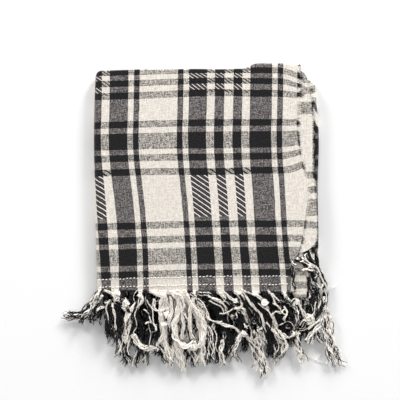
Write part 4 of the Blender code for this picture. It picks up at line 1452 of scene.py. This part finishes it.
MIDDLE_ROWS = (
    Row(-128, 104, 11.4, 2.6, 170, 72, 9, -4, 1.6),
    Row(-126, 104, 9.8, 1.8, 110, 72, 3, 74, 0.6),
)
LOW_ROWS = (
    Row(-126, 100, 7.6, 1.6, 110, 64, 7, 12, 0.6),
    Row(-124, 100, 2.2, 1.4, 100, 56, -3, 110, 0.3),
)
CORNER_ROWS = (
    Row(100, 131, 10.4, 2.2, 26, 66, 4, 12, 0.8),
    Row(98, 134, 8.2, 1.2, 26, 60, -3, 40, 0.6),
    Row(98, 136, 2.4, 1.2, 22, 56, 3, 60, 0.3),
)


# Short frayed weft ends along the selvages

EYELASH = 4.6
EYELASH_YARN = 0.30
EYELASH_GROWTH = (  # y, length there over the usual one
    (-90, 1.1), (-60, 0.9), (60, 0.9), (130, 1.2), (152, 1.9), (190, 1.9),
)


ROOTED = 1.6
DROOP = 0.9


def eyelashes(yarns, table, low, high, z, leaf, chance, lean=0.5):
    """Short weft ends that stand out of a selvage, black where the weft is black."""
    count = int((high - low) / ROOT_PITCH)
    y = np.linspace(low, high, count) + 0.25 * chance.normal(size=count)
    x = curve(table, y)
    if leaf == 2:
        place = curve(SECOND_WEFT, y)
    else:
        place = y - HEM_Y - curve(SELVAGE_DRAW, y)
    fold = (place - WEFT_PIVOT) % (2.0 * sum(WEFT_BANDS))
    fold = np.minimum(fold, 2.0 * sum(WEFT_BANDS) - fold)
    dark = np.searchsorted(np.cumsum(WEFT_BANDS), fold) % 2 == 1
    length = EYELASH * (0.45 + 0.8 * chance.random(count)) * curve(EYELASH_GROWTH, y)
    length *= 0.45 if leaf == 2 else 1.0
    tilt = lean * curve(SELVAGE_DRAW, y) / 8.0 + 0.35 * chance.normal(size=count)
    rise = 0.5 * chance.normal(size=count)
    t = np.linspace(0.0, 1.0, 5)
    lines = np.zeros((count, 5, 3))
    lines[..., 0] = (x - ROOTED)[:, None] + t * (length + ROOTED)[:, None] * np.cos(tilt)[:, None]
    lines[..., 1] = y[:, None] + t * length[:, None] * np.sin(tilt)[:, None]
    lines[..., 1] += 0.5 * np.sin(4.0 * t + FULL_TURN * chance.random((count, 1)))
    lines[..., 2] = z + t * rise[:, None] - DROOP * t**2
    radii = np.repeat(EYELASH_YARN * (1.0 - 0.5 * t)[None], count, axis=0)
    yarns.add(lines, radii, yarn_tones(dark, chance))


def selvage_ends(finish, chance):
    """The frayed ends along both selvages that show, two rows on the upper one."""
    yarns = Yarns()
    eyelashes(yarns, TOP_SELVAGE, -90.0, 189.0, STACK_HEIGHT - 0.5, 1, chance)
    eyelashes(yarns, TOP_SELVAGE, -90.0, 189.0, STACK_HEIGHT - 0.7, 1, chance)
    eyelashes(yarns, SECOND_SELVAGE, -34.0, 172.0, STACK_HEIGHT - 1.7, 2, chance, 0.0)
    return yarns.piece("selvage_ends", finish)


STITCH_ROWS = (-72.8, -82.8)
STITCH_RANGE = (-131.0, 105.0)
STITCH_PITCH = 4.3
STITCH_LENGTH = 2.1
STITCH_SLANT = 0.5
STITCH_RISE = (-0.3, 0.6)
STITCH_YARN = 0.56
STITCH_TONE = 0.97


def stitches(finish, chance):
    """Two rows of white stitches that hold the hem."""
    yarns = Yarns()
    t = np.linspace(0.0, 1.0, 6)
    bow = np.sin(np.pi * t)
    for y in STITCH_ROWS:
        x = np.arange(*STITCH_RANGE, STITCH_PITCH)
        x = x + 0.25 * chance.normal(size=len(x))
        lines = np.zeros((len(x), 6, 3))
        lines[..., 0] = x[:, None] + STITCH_LENGTH * (t - 0.5)
        lines[..., 1] = y - curve(WEFT_RISE, x)[:, None] + 0.3 * chance.normal(size=(len(x), 1))
        lines[..., 1] += STITCH_SLANT * (t - 0.5)
        lines[..., 2] = STACK_HEIGHT + STITCH_RISE[0] + STITCH_RISE[1] * bow
        radii = np.repeat(STITCH_YARN * (0.7 + 0.3 * bow)[None], len(x), axis=0)
        yarns.add(lines, radii, np.full(len(x), STITCH_TONE), sides=5)
    return yarns.piece("hem_stitches", finish)


# Floor, light and camera


LIGHTS = (  # name, place, size, power
    ("key", (3.0, 5.4, 2.4), 1.6, 360.0),
    ("side", (-4.2, 5.4, 2.8), 1.6, 250.0),
    ("back", (0.4, 6.4, 1.5), 1.6, 222.0),
)
WORLD_STRENGTH = 0.465
FLOOR_SIZE = 8.0
FLOOR_COLOUR = (0.97, 0.97, 0.97, 1.0)
FLOOR_ROUGHNESS = 0.9
VIEW_WIDTH = 0.496
VIEW_CENTRE = (-0.0062, 0.0236)
CAMERA_HEIGHT = 2.6
SHARP_HEIGHT = 0.016
SENSOR = 36.0


def link(name, data):
    """A new object in the scene."""
    item = bpy.data.objects.new(name, data)
    bpy.context.scene.collection.objects.link(item)
    return item


def studio():
    """A pale floor, an even white world and soft lights from behind."""
    bpy.ops.mesh.primitive_plane_add(size=FLOOR_SIZE, location=(0.0, 0.0, 0.0))
    floor = bpy.context.object
    floor.name = "floor"
    n = Nodes("pale_floor")
    n.join(FLOOR_COLOUR, n.surface.inputs["Base Color"])
    n.join(FLOOR_ROUGHNESS, n.surface.inputs["Roughness"])
    floor.data.materials.append(n.material)
    world = bpy.data.worlds.new("studio")
    bpy.context.scene.world = world
    world.use_nodes = True
    background = world.node_tree.nodes["Background"]
    background.inputs["Color"].default_value = (1.0, 1.0, 1.0, 1.0)
    background.inputs["Strength"].default_value = WORLD_STRENGTH
    for name, place, size, power in LIGHTS:
        light = bpy.data.lights.new(name, "AREA")
        light.size = size
        light.energy = power
        item = link(name, light)
        item.location = place
        item.rotation_euler = Vector(place).to_track_quat("Z", "Y").to_euler()


def camera():
    """The camera straight above, as wide as the photo."""
    data = bpy.data.cameras.new("camera")
    data.sensor_width = SENSOR
    data.lens = SENSOR * (CAMERA_HEIGHT - SHARP_HEIGHT) / VIEW_WIDTH
    item = link("camera", data)
    item.location = (*VIEW_CENTRE, CAMERA_HEIGHT)
    bpy.context.scene.camera = item


def main():
    """The whole scene."""
    plaid, yarn = plaid_material(), yarn_material()
    cloth = build_cloth(plaid)
    chance = np.random.default_rng(5)
    upper_left, upper_right = upper_fringe(yarn, chance)
    fringes = {
        "fringe_top": upper_left,
        "fringe_middle": under_fringe("fringe_middle_bundles", MIDDLE_ROWS, yarn, chance),
        "fringe_low": under_fringe("fringe_low_bundles", LOW_ROWS, yarn, chance),
        "fringe_left": left_fringe(yarn, chance),
        "fringe_second": second_fringe(yarn, chance),
        "fringe_corner": under_fringe("fringe_corner_bundles", CORNER_ROWS, yarn, chance),
    }
    ends = selvage_ends(yarn, chance)
    sewn = stitches(yarn, chance)
    nodes = {
        "top_sheet": "top_panel",
        "second_sheet": "second_leaf",
        "third_sheet": "third_leaf",
        "right_fold_sheet": "right_fold",
        "inner_layers": "folded_layers",
    }
    for name, piece in cloth.items():
        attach(piece, "root")
        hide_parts(nodes[name])
    for node, piece in fringes.items():
        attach(piece, "root")
        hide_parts(node)
    for piece in (ends, sewn, upper_right):
        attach(piece, "root")
    for name, piece in cloth.items():
        extra = [sewn] if name == "top_sheet" else []
        rests = ["floor"] if name in ("top_sheet", "right_fold_sheet") else ["folded_layers"]
    studio()
    camera()
    bpy.context.scene.view_settings.view_transform = "Standard"


main()
